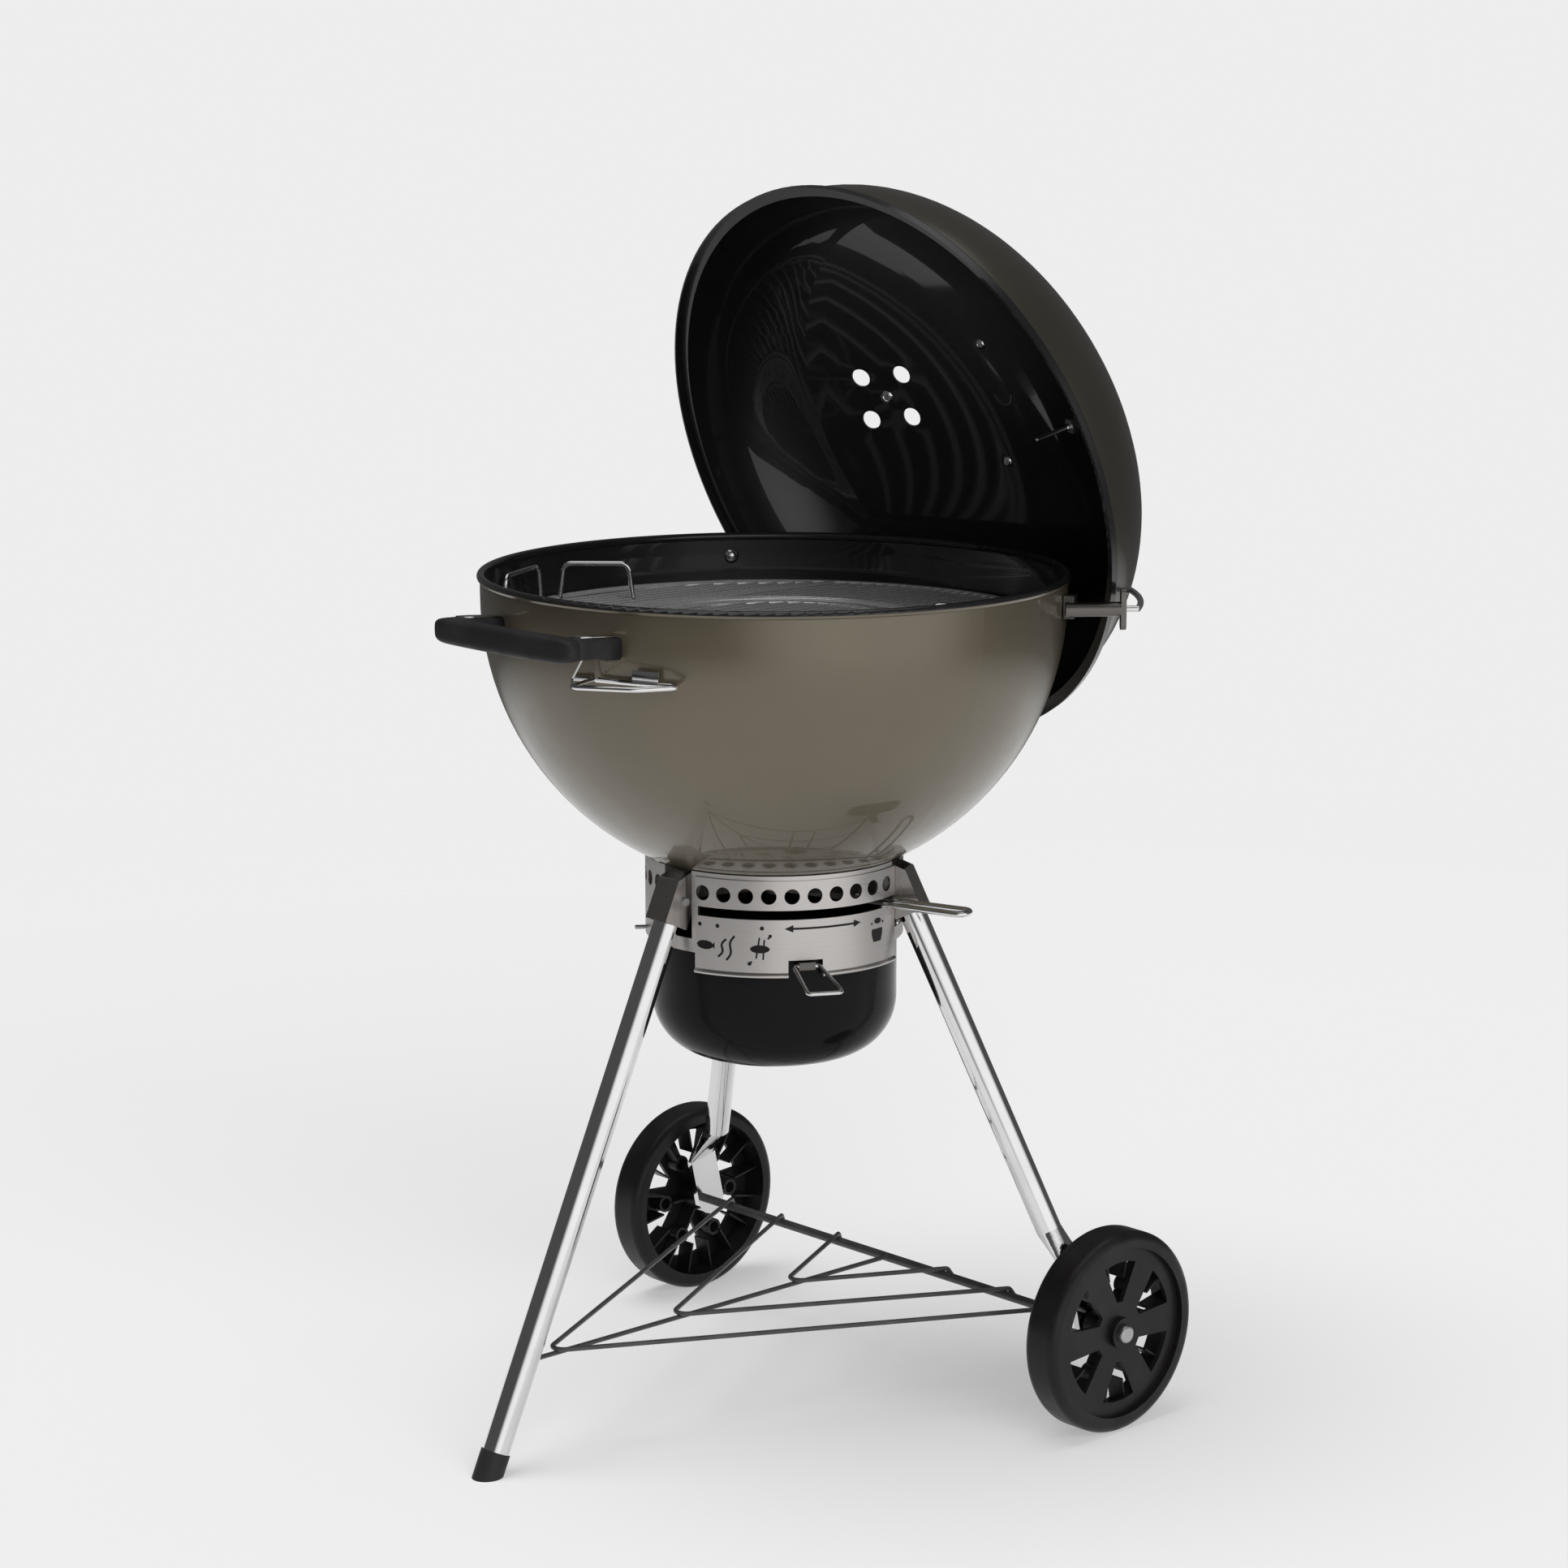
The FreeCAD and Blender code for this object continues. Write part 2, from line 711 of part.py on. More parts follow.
def make_sweeper():
    """The cleaning system: three blades in the bowl turned by a lever under it."""
    outer = D.bowl_radius - D.steel - 0.6
    inner = outer - 1.5
    reach = 110.0
    shell = turned(
        "BladeShell",
        [
            (0, D.bowl_centre_z - outer),
            (reach, sphere_z(outer, reach), outer),
            (reach, sphere_z(inner, reach)),
            (0, D.bowl_centre_z - inner, -float(inner)),
        ],
    )
    lever = float(D.lever_angle)
    star = [sector_prism(10.0, 130.0, 17.0, lever + a) for a in (44.0, 164.0, 284.0)]
    hub = cylinder(26.0, 60.0, at(0, 0, 500))
    blades = common(shell, fuse(hub, *star))
    keep(cut(blades, cylinder(5.0, 60.0, at(0, 0, 500))), "sweeper_blades")
    shaft = turned(
        "Shaft",
        [(0, 507.0), (8.0, 507.0), (8.0, 510.0), (5.0, 510.0), (5.0, 526.5), (9.0, 526.5),
         (9.0, 529.0), (0, 531.0)],
    )
    keep(shaft, "sweeper_shaft")
    way = Turn(UP, lever)
    arm = box(108.0, 11.7, 3.0, at(0, 0, 0, way) * at(58.0, 0, 510.5))
    plate = cylinder(12.0, 3.0, at(0, 0, 510.5))
    keep(cut(fuse(arm, plate), cylinder(5.0, 20, at(0, 0, 505))), "sweeper_arm")
    half, near, far, z = 9.0, 88.0, 215.0, float(D.slot_z) - 1.0
    ends = [V(near, -half, z), V(far, -half - 1.5, z), V(far, half + 1.5, z), V(near, half, z)]
    points = [way.multVec(p) for p in ends]
    keep(bent_wire(points, 9.0, 3.1), "sweeper_lever")


# ---------------------------------------------------------------- lid


class Dome:
    """The lid's arched section: a crown arc that runs into a side arc at each edge."""

    def __init__(self, inset=0.0):
        foot = float(D.lip_height) + 2.0
        self.foot = foot
        self.edge = float(D.lip_step) - inset
        self.side = 125.0 - inset
        high = float(D.lid_depth) - inset - foot
        run = self.edge - self.side
        self.crown = (run**2 + high**2 - self.side**2) / (2 * (high - self.side))
        self.top = foot + high
        self.centre_z = self.top - self.crown
        rise = self.foot - self.centre_z
        scale = self.crown / math.hypot(run, rise)
        self.join = (run * scale, self.centre_z + rise * scale)


def lid_frame():
    return at(0, D.lid_y, D.lid_z, Turn(V(1, 0, 0), -float(D.lid_tilt)))


def dome_frame(x, y, inset=0.0):
    """A frame on the lid's crown whose z points straight out of it."""
    dome = Dome()
    centre = V(0, 0, dome.centre_z)
    reach = math.hypot(x, y)
    out = (V(x, y, dome.centre_z + math.sqrt(dome.crown**2 - reach**2)) - centre).normalize()
    across = V(1, 0, 0)
    turn = Turn(V(), out.cross(across), out, "ZYX")
    return lid_frame() * FreeCAD.Placement(centre + out * (dome.crown - inset), turn)


def make_lid():
    outer, inner = Dome(), Dome(float(D.steel))
    lip_in = D.lip_radius - D.steel
    step_low = D.lip_height - D.steel
    outline = [
        (lip_in, 0),
        (D.lip_radius, 0),
        (D.lip_radius, D.lip_height - 2.0),
        (D.lip_radius - 2.0, D.lip_height, 2.0),
        (D.lip_step + 2.0, D.lip_height),
        (D.lip_step, D.lip_height + 2.0, -2.0),
        (outer.join[0], outer.join[1], outer.side),
        (0, D.lid_depth, outer.crown),
        (0, D.lid_depth - D.steel),
        (inner.join[0], inner.join[1], -inner.crown),
        (D.lip_step - D.steel, D.lip_height + 2.0, -inner.side),
        (D.lip_step - D.steel, step_low),
        (lip_in, step_low),
    ]
    shell = turned("LidShell", outline, lid_frame())
    vent = dome_frame(-float(D.vent_reach), 3.0)
    vents = [cylinder(D.vent_hole, 40, vent * vent_at(a) * at(0, 0, -20)) for a in VENT_TURNS]
    holes = [cylinder(4.0, 40, vent * at(0, 0, -20))]
    holes += [cylinder(D.bolt_radius, 40, place * at(0, 0, -20)) for place in grip_frames()]
    holes.append(cylinder(4.0, 40, gauge_frame() * at(0, 0, -20)))
    keep(cut(shell, *vents, *holes), "lid")


VENT_TURNS = (45.0, 135.0, 225.0, 315.0)


def vent_at(angle):
    return at(0, 0, 0, Turn(UP, angle)) * at(D.vent_ring, 0, 0)


def gauge_frame():
    return dome_frame(float(D.gauge_x), float(D.gauge_y))


def grip_frames(inset=0.0):
    x, y = float(D.grip_offset_x), float(D.grip_offset_y)
    return [dome_frame(x, y + s * D.grip_spacing, inset) for s in (-1, 1)]


def cap_radius(half, rise):
    """The radius of a shallow domed cap of this half width and rise."""
    return (half**2 + rise**2) / (2 * rise)


def make_lid_fittings():
    crown = Dome().crown
    vent = dome_frame(-float(D.vent_reach), 3.0)
    low, high = crown + 0.4, crown + 1.6
    radius = float(D.damper_radius)
    disc = turned(
        "DamperDisc",
        [
            (0, 0.4),
            (radius, math.sqrt(low**2 - radius**2) - crown, -low),
            (radius, math.sqrt(high**2 - radius**2) - crown),
            (0, 1.6, high),
        ],
        vent,
    )
    vents = [cylinder(D.vent_hole, 20, vent * vent_at(a) * at(0, 0, -10)) for a in VENT_TURNS]
    tab = box(1.4, 24.0, 17.0, vent * at(-radius + 2.0, 0, -1.6))
    bore = cylinder(3.95 + D.running_gap, 20, vent * at(0, 0, -10))
    keep(cut(fuse(disc, tab), bore, *vents), "lid_damper")
    rivet = turned(
        "Rivet",
        [
            (0, -4.2),
            (7.0, -1.7, cap_radius(7.0, 2.5)),
            (3.95, -1.7),
            (3.95, 2.0),
            (8.0, 2.0),
            (0, 4.6, cap_radius(8.0, 2.6)),
        ],
        vent,
    )
    keep(rivet, "damper_rivet")

    low, high = crown + 0.05, crown + 1.5
    near, far = D.grip_offset_y - 85.0, D.grip_offset_y + 85.0
    outline = [
        (near, math.sqrt(low**2 - near**2)),
        (far, math.sqrt(low**2 - far**2), -low),
        (far, math.sqrt(high**2 - far**2)),
        (near, math.sqrt(high**2 - near**2), high),
    ]
    strip_at = lid_frame() * at(D.grip_offset_x - 28.0, 0, Dome().centre_z)
    strip = padded("HeatStrip", outline, 56.0, role="YZ_Plane", placement=strip_at)
    shield = keep(cut(strip, *[pilot(f) for f in grip_frames()]), "lid_shield")

    top = D.lid_depth + 38.0
    bar_frame = lid_frame() * at(D.grip_offset_x, D.grip_offset_y, top)
    bar = cylinder(9.0, 190.0, bar_frame * at(0, -95.0, 0, Turn(V(1, 0, 0), -90)))
    posts = []
    for s in (-1, 1):
        y = D.grip_offset_y + s * D.grip_spacing
        posts.append(box(20.0, 22.0, 70.0, lid_frame() * at(D.grip_offset_x, y, top - 70.0)))
    crown_ball = doc.addObject("Part::Sphere", "Ball")
    bind(crown_ball, Radius=crown + 1.6)
    crown_ball.Placement = lid_frame() * at(0, 0, Dome().centre_z)
    grip = cut(fuse(bar, *posts), crown_ball, shield, *[pilot(f) for f in grip_frames()])
    keep(grip, "lid_handle")
    screws = []
    for i, frame in enumerate(grip_frames(float(D.steel))):
        shank = D.bolt_radius - D.running_gap
        outline = [(0, -4.0), (6.5, -0.05, 8.0), (shank, -0.05), (shank, 20.0), (0, 20.0)]
        screws.append(turned(f"GripScrew{i}", outline, frame))
    group("lid_handle_bolts", screws)


def pilot(frame):
    return cylinder(D.bolt_radius, 40, frame * at(0, 0, -20))


def make_gauge():
    """The thermometer on the lid: case, dial, pointer and lens outside, probe inside."""
    frame = gauge_frame()
    case = [
        (0, 1.0),
        (25.0, 1.0),
        (27.0, 3.0, 2.0),
        (27.0, 13.0),
        (23.5, 13.0),
        (23.5, 11.8),
        (25.0, 11.8),
        (25.0, 3.0),
        (0, 3.0),
    ]
    keep(turned("Case", case, frame), "gauge_case")
    dial = [(0, 3.0), (24.9, 3.0), (24.9, 3.6), (0.8, 3.6), (0.8, 6.5), (0, 6.5)]
    keep(turned("Dial", dial, frame), "gauge_dial")
    hand = padded("Hand", [(-7, -1.2), (3, -1.2), (19, -0.4), (19, 0.4), (3, 1.2), (-7, 1.2)], 0.8,
                  placement=frame * at(0, 0, 4.6, Turn(UP, 215)))
    boss = cylinder(2.4, 1.4, frame * at(0, 0, 4.4))
    keep(cut(fuse(hand, boss), cylinder(0.8 + D.running_gap, 10, frame)), "gauge_pointer")
    keep(turned("Lens", [(0, 10.0), (24.9, 10.0), (24.9, 11.8), (0, 11.8)], frame), "gauge_lens")
    probe = [(0, -47.0), (2.4, -44.6, 2.4), (2.4, -9.0), (3.95, -9.0), (3.95, 1.0), (0, 1.0)]
    keep(turned("Probe", probe, frame), "gauge_probe")
    corners = [polar(8.0, 60 * k) for k in range(6)]
    nut = padded("ProbeNut", [(c.x, c.y) for c in corners], 4.5, placement=frame * at(0, 0, -6.2))
    keep(cut(nut, cylinder(3.95, 20, frame * at(0, 0, -12))), "gauge_nut")


# ---------------------------------------------------------------- grates


def chord(radius, x):
    return math.sqrt(max(radius**2 - x**2, 0.0))


def make_cooking_grate():
    z = float(D.grate_z)
    outer, frame_wire = float(D.grate_radius), float(D.frame_wire)
    hole = float(D.insert_radius) + 4.0
    wires = [torus(outer, frame_wire, at(0, 0, z)), torus(hole, frame_wire, at(0, 0, z))]
    bar_x = 151.0
    for s in (1, -1):
        for t in (1, -1):
            y = t * chord(outer, bar_x)
            wires.append(rod(V(s * bar_x, t * 33.0, z), V(s * bar_x, y, z), frame_wire))
    x = float(D.rod_pitch) / 2
    while x < bar_x - 6:
        for s in (1, -1):
            for t in (1, -1):
                y_in, y_out = chord(hole, x), chord(outer, x)
                wires.append(rod(V(s * x, t * y_in, z), V(s * x, t * y_out, z), D.rod_wire))
        x += float(D.rod_pitch)
    handles = [
        grate_handle(polar(outer, centre - 9.5, z), polar(outer, centre + 9.5, z), 36.0)
        for centre in (27.0, 207.0)
    ]
    for a in (90.0, 210.0, 330.0):
        wires.append(box(12.0, 12.0, 1.5, at(0, 0, 0, Turn(UP, a)) * at(hole - 4.0, 0, z - 4.4)))
    for s in (1, -1):
        for t in (1, -1):
            wires.append(box(5.0, 8.0, 2.0, at(s * 153.5, t * 150.0, z - 1.0)))
    pins = []
    for s in (1, -1):
        for t in (1, -1):
            start = V(s * float(D.hinge_x), t * 146.0, z)
            pins.append(rod(start, start + V(0, t * 22.0, 0), 2.0))
    keep(fuse(*wires, *pins), "cooking_grate")
    ring = torus(outer, frame_wire, at(0, 0, z))
    group("grate_handles", [cut(handle, ring) for handle in handles])


def grate_handle(first, second, height):
    """An upright wire bail between two points of a grate."""
    up = V(0, 0, height)
    lean = (second - first) * 0.06
    return bent_wire([first, first + up + lean, second + up - lean, second], 9.0, 2.5)


def make_grate_flaps():
    z = float(D.grate_z)
    radius, wire = 261.5, float(D.frame_wire)
    bar_x = 164.0
    half = math.degrees(math.acos(bar_x / radius))
    for s, name in ((1, "right"), (-1, "left")):
        turn = 0.0 if s > 0 else 180.0
        arc = torus(radius, wire - 0.5, at(0, 0, z, Turn(UP, turn - half)), 2 * half)
        y = chord(radius, bar_x)
        wires = [arc, rod(V(s * bar_x, -y, z), V(s * bar_x, y, z), wire - 0.5)]
        x = bar_x + float(D.rod_pitch)
        while x < radius - 8:
            y_end = chord(radius, x)
            wires.append(rod(V(s * x, -y_end, z), V(s * x, y_end, z), D.rod_wire))
            x += float(D.rod_pitch)
        grip = grate_handle(V(s * 255.0, s * 57.9, z), V(s * 203.0, s * 5.4, z), 36.0)
        knuckles = []
        for t in (1, -1):
            here = V(s * float(D.hinge_x), t * 160.0, z)
            knuckles.append(rod(here - V(0, 5, 0), here + V(0, 5, 0), 2.9))
            wires.append(box(6.0, 8.0, 3.0, at(s * 161.5, t * 160.0, z - 1.5)))
        pin_end = V(s * float(D.hinge_x), 180, z)
        bore = rod(pin_end - V(0, 360, 0), pin_end, 2.0 + D.running_gap)
        flap = keep(cut(fuse(*wires, *knuckles), bore), f"grate_flap_{name}")
        keep(cut(grip, flap), f"flap_handle_{name}")


def make_grate_insert():
    z = float(D.grate_z)
    ring, inner = float(D.insert_radius) - 2.5, 119.0
    plate = turned("Plate", [(inner, z - 0.6), (ring, z - 0.6), (ring, z + 0.6), (inner, z + 0.6)])
    wires = [torus(ring, 2.5, at(0, 0, z)), torus(inner, 2.2, at(0, 0, z))]
    x = 0.0
    while x < inner - 6:
        for s in (1, -1) if x else (1,):
            y = chord(inner, x)
            wires.append(rod(V(s * x, -y, z), V(s * x, y, z), D.rod_wire))
        x += float(D.rod_pitch)
    holes = []
    for k in range(36):
        holes.append(cylinder(3.0, 10, at(0, 0, z - 5, Turn(UP, 10 * k)) * at(131, 0, 0)))
    keep(fuse(cut(plate, *holes), *wires), "grate_insert")


def make_charcoal_grate():
    z, radius = float(D.coal_grate_z), float(D.coal_grate_radius)
    wires = [torus(radius, D.frame_wire, at(0, 0, z))]
    x = 0.0
    while x < radius - 10:
        for s in (1, -1) if x else (1,):
            y = chord(radius, x)
            wires.append(rod(V(s * x, -y, z), V(s * x, y, z), 2.4))
        x += 19.0
    for s in (1, -1):
        x_end = chord(radius, 95.0)
        wires.append(rod(V(-x_end, s * 95.0, z - 4.0), V(x_end, s * 95.0, z - 4.0), 2.6))
    keep(fuse(*wires), "charcoal_grate")


# ---------------------------------------------------------------- legs


def leg_frame(angle):
    """The leg's axis: its top at the origin, the tube running down local -Z."""
    reach = D.leg_foot_reach - D.leg_slope * D.leg_top_z
    lean = -math.degrees(math.atan(D.leg_slope))
    return at(0, 0, 0, Turn(UP, angle)) * at(reach, 0, D.leg_top_z, Turn(V(0, 1, 0), lean))


def leg_length(z):
    """Distance down the leg from its top to this height."""
    return (float(D.leg_top_z) - z) / math.cos(math.atan(D.leg_slope))


BUTTON_DROP = 14.3


def tube(frame, length):
    outer = cylinder(D.leg_radius, length, frame * at(0, 0, -length))
    return outer, cylinder(D.leg_radius - D.leg_wall, length + 20, frame * at(0, 0, -length - 10))


def make_legs():
    front = leg_frame(LEG_ANGLES["front"])
    length = leg_length(-10.0)
    outer, bore = tube(front, length)
    below = box(200.0, 200.0, 100.0, at(0, -D.leg_foot_reach, 3.0 - 100.0))
    button = button_hole(front)
    keep(cut(outer, bore, below, button), "leg_front")
    lean = math.atan(D.leg_slope)
    ankle = leg_length(190.0)
    plate_lean = math.atan(D.leg_slope * math.sin(math.radians(LEG_ANGLES["right"])))
    for s, name in ((1, "right"), (-1, "left")):
        frame = leg_frame(LEG_ANGLES[name])
        outer, bore = tube(frame, ankle)
        hollow = cut(outer, bore, button_hole(frame))
        up = V(0, -math.sin(plate_lean), math.cos(plate_lean))
        face = V(s, 0, 0)
        axle = V(s * PLATE_X, float(D.axle_y), float(D.wheel_radius))
        turn = Turn(up.cross(face), up, face, "ZYX")
        start = circle_at(float(D.leg_radius), frame * at(0, 0, -ankle))
        ends = FreeCAD.Placement(axle + up * 51.0, Turn(up.cross(face), face, up, "ZYX"))
        finish = ellipse_at(17.0, 3.5, ends)
        neck = doc.addObject("Part::Loft", "Neck")
        neck.Sections = [start, finish]
        neck.Solid = True
        neck.Ruled = False
        blade = padded(
            f"Blade{name.title()}",
            [(-17.0, 0), (17.0, 0, 17.3), (17.0, 52.0), (-17.0, 52.0)],
            7.0,
            circles=[(0, 0, D.axle_radius)],
            placement=FreeCAD.Placement(axle - face * 3.5, turn),
        )
        keep(fuse(hollow, neck, blade), f"leg_{name}")


PLATE_X = 278.0


def circle_at(radius, placement):
    ring = doc.addObject("Part::Circle", "Section")
    bind(ring, Radius=radius)
    ring.Placement = placement
    return ring


def ellipse_at(major, minor, placement):
    ring = doc.addObject("Part::Ellipse", "Section")
    bind(ring, MajorRadius=major, MinorRadius=minor)
    ring.Placement = placement
    return ring


def button_hole(frame):
    return cylinder(4.0 + D.running_gap, 16.0, frame * at(0, 6.0, -BUTTON_DROP, Turn(V(1, 0, 0), -90)))


def make_sockets_and_clips():
    ball = 283.1
    for name, angle in LEG_ANGLES.items():
        frame = leg_frame(angle)
        low, high = -39.0, 17.5
        walls = [
            box(28.9, 1.5, high - low, frame * at(0.95, s * 13.95, low)) for s in (1, -1)
        ]
        walls.append(box(1.5, 29.4, high - low, frame * at(14.65, 0, low)))
        cradle = doc.addObject("Part::Sphere", "Ball")
        bind(cradle, Radius=ball)
        cradle.Placement = at(0, 0, D.bowl_centre_z)
        shoulder = box(80.0, 60.0, 40.0, frame * at(15.4, 0, 2.0, Turn(V(0, 1, 0), 45)))
        keep(cut(fuse(*walls), cradle, shoulder, button_hole(frame)), f"leg_socket_{name}")
        pin = cylinder(4.0, 12.0, frame * at(0, 5.5, -BUTTON_DROP, Turn(V(1, 0, 0), -90)))
        leaf = box(9.0, 1.0, 26.0, frame * at(0, 5.0, -BUTTON_DROP - 20.0))
        keep(fuse(pin, leaf), f"leg_clip_{name}")


def make_foot_cap():
    frame = leg_frame(LEG_ANGLES["front"])
    length = leg_length(-20.0)
    top = leg_length(22.0)
    outer = cylinder(14.25, length - top, frame * at(0, 0, -length))
    socket = cylinder(D.leg_radius, length - top + 10, frame * at(0, 0, -length))
    below = box(200.0, 200.0, 60.0, at(0, -D.leg_foot_reach, -60.0))
    ground = box(200.0, 200.0, 43.0, at(0, -D.leg_foot_reach, -40.0))
    keep(cut(outer, cut(socket, ground), below), "foot_cap")


def make_axle_and_wheels():
    z, y = D.wheel_radius, D.axle_y
    along_x = Turn(V(0, 1, 0), 90)
    keep(cylinder(D.axle_radius, 656.0, at(-328.0, y, z, along_x)), "axle")
    caps, washers = [], []
    for s in (1, -1):
        turn = Turn(V(0, 1, 0), 90 * s)
        place = at(0, y, z, turn)
        cap = [
            (4.5, 324.15),
            (9.0, 324.15),
            (9.0, 327.0),
            (6.0, 330.0, 3.1),
            (0, 330.0),
            (0, 328.0),
            (4.5, 328.0),
        ]
        caps.append(turned(f"Cap{len(caps)}", cap, place))
        ring = [(4.5, 281.5), (10.0, 281.5), (10.0, 283.85), (4.5, 283.85)]
        washers.append(turned(f"Washer{len(washers)}", ring, place))
    group("axle_caps", caps)
    group("axle_washers", washers)
    for s, name in ((1, "right"), (-1, "left")):
        make_wheel(name, at(s * D.wheel_x, y, z, Turn(V(0, 1, 0), 90 * s)))


def make_wheel(name, place):
    """A moulded wheel; local +z is the outer face."""
    half = D.wheel_width / 2
    bore = D.axle_radius + D.running_gap
    shoulder = 9.0
    outline = [
        (bore, -half),
        (15.0, -half),
        (15.0, 9.0),
        (84.0, 9.0),
        (84.0, -half),
        (D.wheel_radius - shoulder, -half),
        (D.wheel_radius, -half + shoulder, shoulder),
        (D.wheel_radius, half - shoulder),
        (D.wheel_radius - shoulder, half, shoulder),
        (84.0, half),
        (84.0, 14.0),
        (15.0, 14.0),
        (15.0, half),
        (bore, half),
    ]
    body = turned(f"Wheel{name.title()}", outline)
    side = math.radians(18.0)
    inner, outer = 30.0, 70.0
    window = [
        (outer * math.cos(side), -outer * math.sin(side)),
        (outer * math.cos(side), outer * math.sin(side), outer),
        (inner, 4.0),
        (inner, -4.0),
    ]
    sketch = sketch_on(body, "XY_Plane", window, name="Window")
    pocket_ring(body, sketch, 6)
    body.Placement = place
    ribs = []
    for k in range(16):
        spot = place * at(0, 0, 0, Turn(UP, 22.5 * k + 11.25))
        ribs.append(box(33.0, 2.0, 20.0, spot * at(68.5, 0, -10.5)))
    for k in range(6):
        spot = place * at(0, 0, 0, Turn(UP, 60.0 * k + 30.0))
        boss = cylinder(9.0, 17.0, spot * at(46.0, 0, -7.5))
        ribs.append(cut(boss, cylinder(6.0, 30, spot * at(46.0, 0, -20))))
        ribs.append(box(24.0, 2.4, 20.0, spot * at(26.0, 0, -10.5)))
    keep(fuse(body, *ribs), f"wheel_{name}")


# ---------------------------------------------------------------- bottom rack


def v_corner(apex, reach, bend, end_y):
    """Where two straight wires would meet so that their bend's crown is at apex."""
    corner = apex
    for _ in range(30):
        half = math.atan2(reach, end_y - corner)
        corner = apex - bend * (1 / math.sin(half) - 1)
    return corner


def make_rack():
    end_y = float(D.axle_y)
    wire = float(D.rack_wire)
    z = float(D.wheel_radius + D.axle_radius) + wire
    along_x = Turn(V(0, 1, 0), 90)
    axle_space = cylinder(D.axle_radius, 600, at(-300, D.axle_y, D.wheel_radius, along_x))
    loops = (("outer", -283.0, 244.0), ("middle", -127.5, 165.0), ("inner", 25.6, 78.0))
    for name, apex, reach in loops:
        corner = v_corner(apex, reach, 11.0, end_y)
        run = V(reach, end_y - corner, 0).normalize()
        points = []
        for s in (-1, 1):
            flat = V(s * run.x, run.y, 0)
            top = V(s * reach, end_y, z) + flat * 4.0
            points.append([top + flat * 6.0 + V(0, 0, -9.0), top])
        path = points[0] + [V(0, corner, z)] + points[1][::-1]
        loop = bent_wire(path, [4.0, 11.0, 4.0], wire)
        keep(cut(loop, axle_space), f"rack_loop_{name}")
    low = z - 2 * wire
    level_radius = D.leg_radius / math.cos(math.atan(D.leg_slope))
    inner_side = D.leg_foot_reach - D.leg_slope * low - level_radius
    start = V(0, -float(inner_side) - 2.0, low)
    end = V(0, end_y - D.axle_radius - wire + 1.0, low)
    leg = leg_frame(LEG_ANGLES["front"])
    length = leg_length(0.0)
    tube_side = cylinder(D.leg_radius, length, leg * at(0, 0, -length))
    keep(cut(rod(start, end + V(0, 3.0, 0), wire), tube_side, axle_space), "rack_spine")


make_bowl()
make_bowl_fittings()
make_bowl_handle()
make_tool_hook()
make_lid_holder()
make_lid()
make_lid_fittings()
make_gauge()
make_cooking_grate()
make_grate_flaps()
make_grate_insert()
make_charcoal_grate()
make_ash_ring()
make_ash_pot()
make_sweeper()
make_legs()
make_sockets_and_clips()
make_foot_cap()
make_axle_and_wheels()
make_rack()
doc.recompute()

faults = [
    f"{thing.Label}: {state}"
    for thing in doc.Objects
    for state in thing.State
    if state in ("Invalid", "Error")
]
faults += [
    f"{part.Label}: no valid shape"
    for part in PARTS
    if part.Shape.isNull() or not part.Shape.isValid()
]
if faults:
    raise RuntimeError("; ".join(faults))

os.makedirs("parts", exist_ok=True)
for part in PARTS:
    part.Shape.exportStep(f"parts/{part.Label}.step")
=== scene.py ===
import bmesh
import bpy
import math
from mathutils import Matrix, Vector


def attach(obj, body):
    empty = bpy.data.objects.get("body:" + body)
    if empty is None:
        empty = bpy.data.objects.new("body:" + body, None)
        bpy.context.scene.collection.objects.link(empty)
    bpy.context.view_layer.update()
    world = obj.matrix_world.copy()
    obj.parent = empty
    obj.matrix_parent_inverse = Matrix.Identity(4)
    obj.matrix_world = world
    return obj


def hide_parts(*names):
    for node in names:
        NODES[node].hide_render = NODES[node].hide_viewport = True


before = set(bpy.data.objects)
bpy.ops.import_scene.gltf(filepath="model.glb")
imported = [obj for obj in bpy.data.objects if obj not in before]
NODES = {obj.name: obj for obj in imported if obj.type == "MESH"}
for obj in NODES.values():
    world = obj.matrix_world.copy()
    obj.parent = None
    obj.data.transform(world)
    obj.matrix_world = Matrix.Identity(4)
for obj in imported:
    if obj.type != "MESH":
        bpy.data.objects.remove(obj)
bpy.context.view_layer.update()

# Sizes in metres, all in the row frame: floor at z = 0, bowl axis at x = y = 0, front -Y.
MM = 0.001
BOWL_CENTRE = Vector((0, 0, 804.6 * MM))
LID_ORIGIN = Vector((0, 147.3 * MM, 914.8 * MM))
LID_TILT = math.radians(-70)
BOWL_RIM_HEIGHT = 822.0 * MM  # the enamel is black above it
LID_RIM_DEPTH = 9.5 * MM  # the enamel is black this near the lid's mouth
PANEL_RADIUS = 127.6 * MM


# ---------------------------------------------------------------- materials


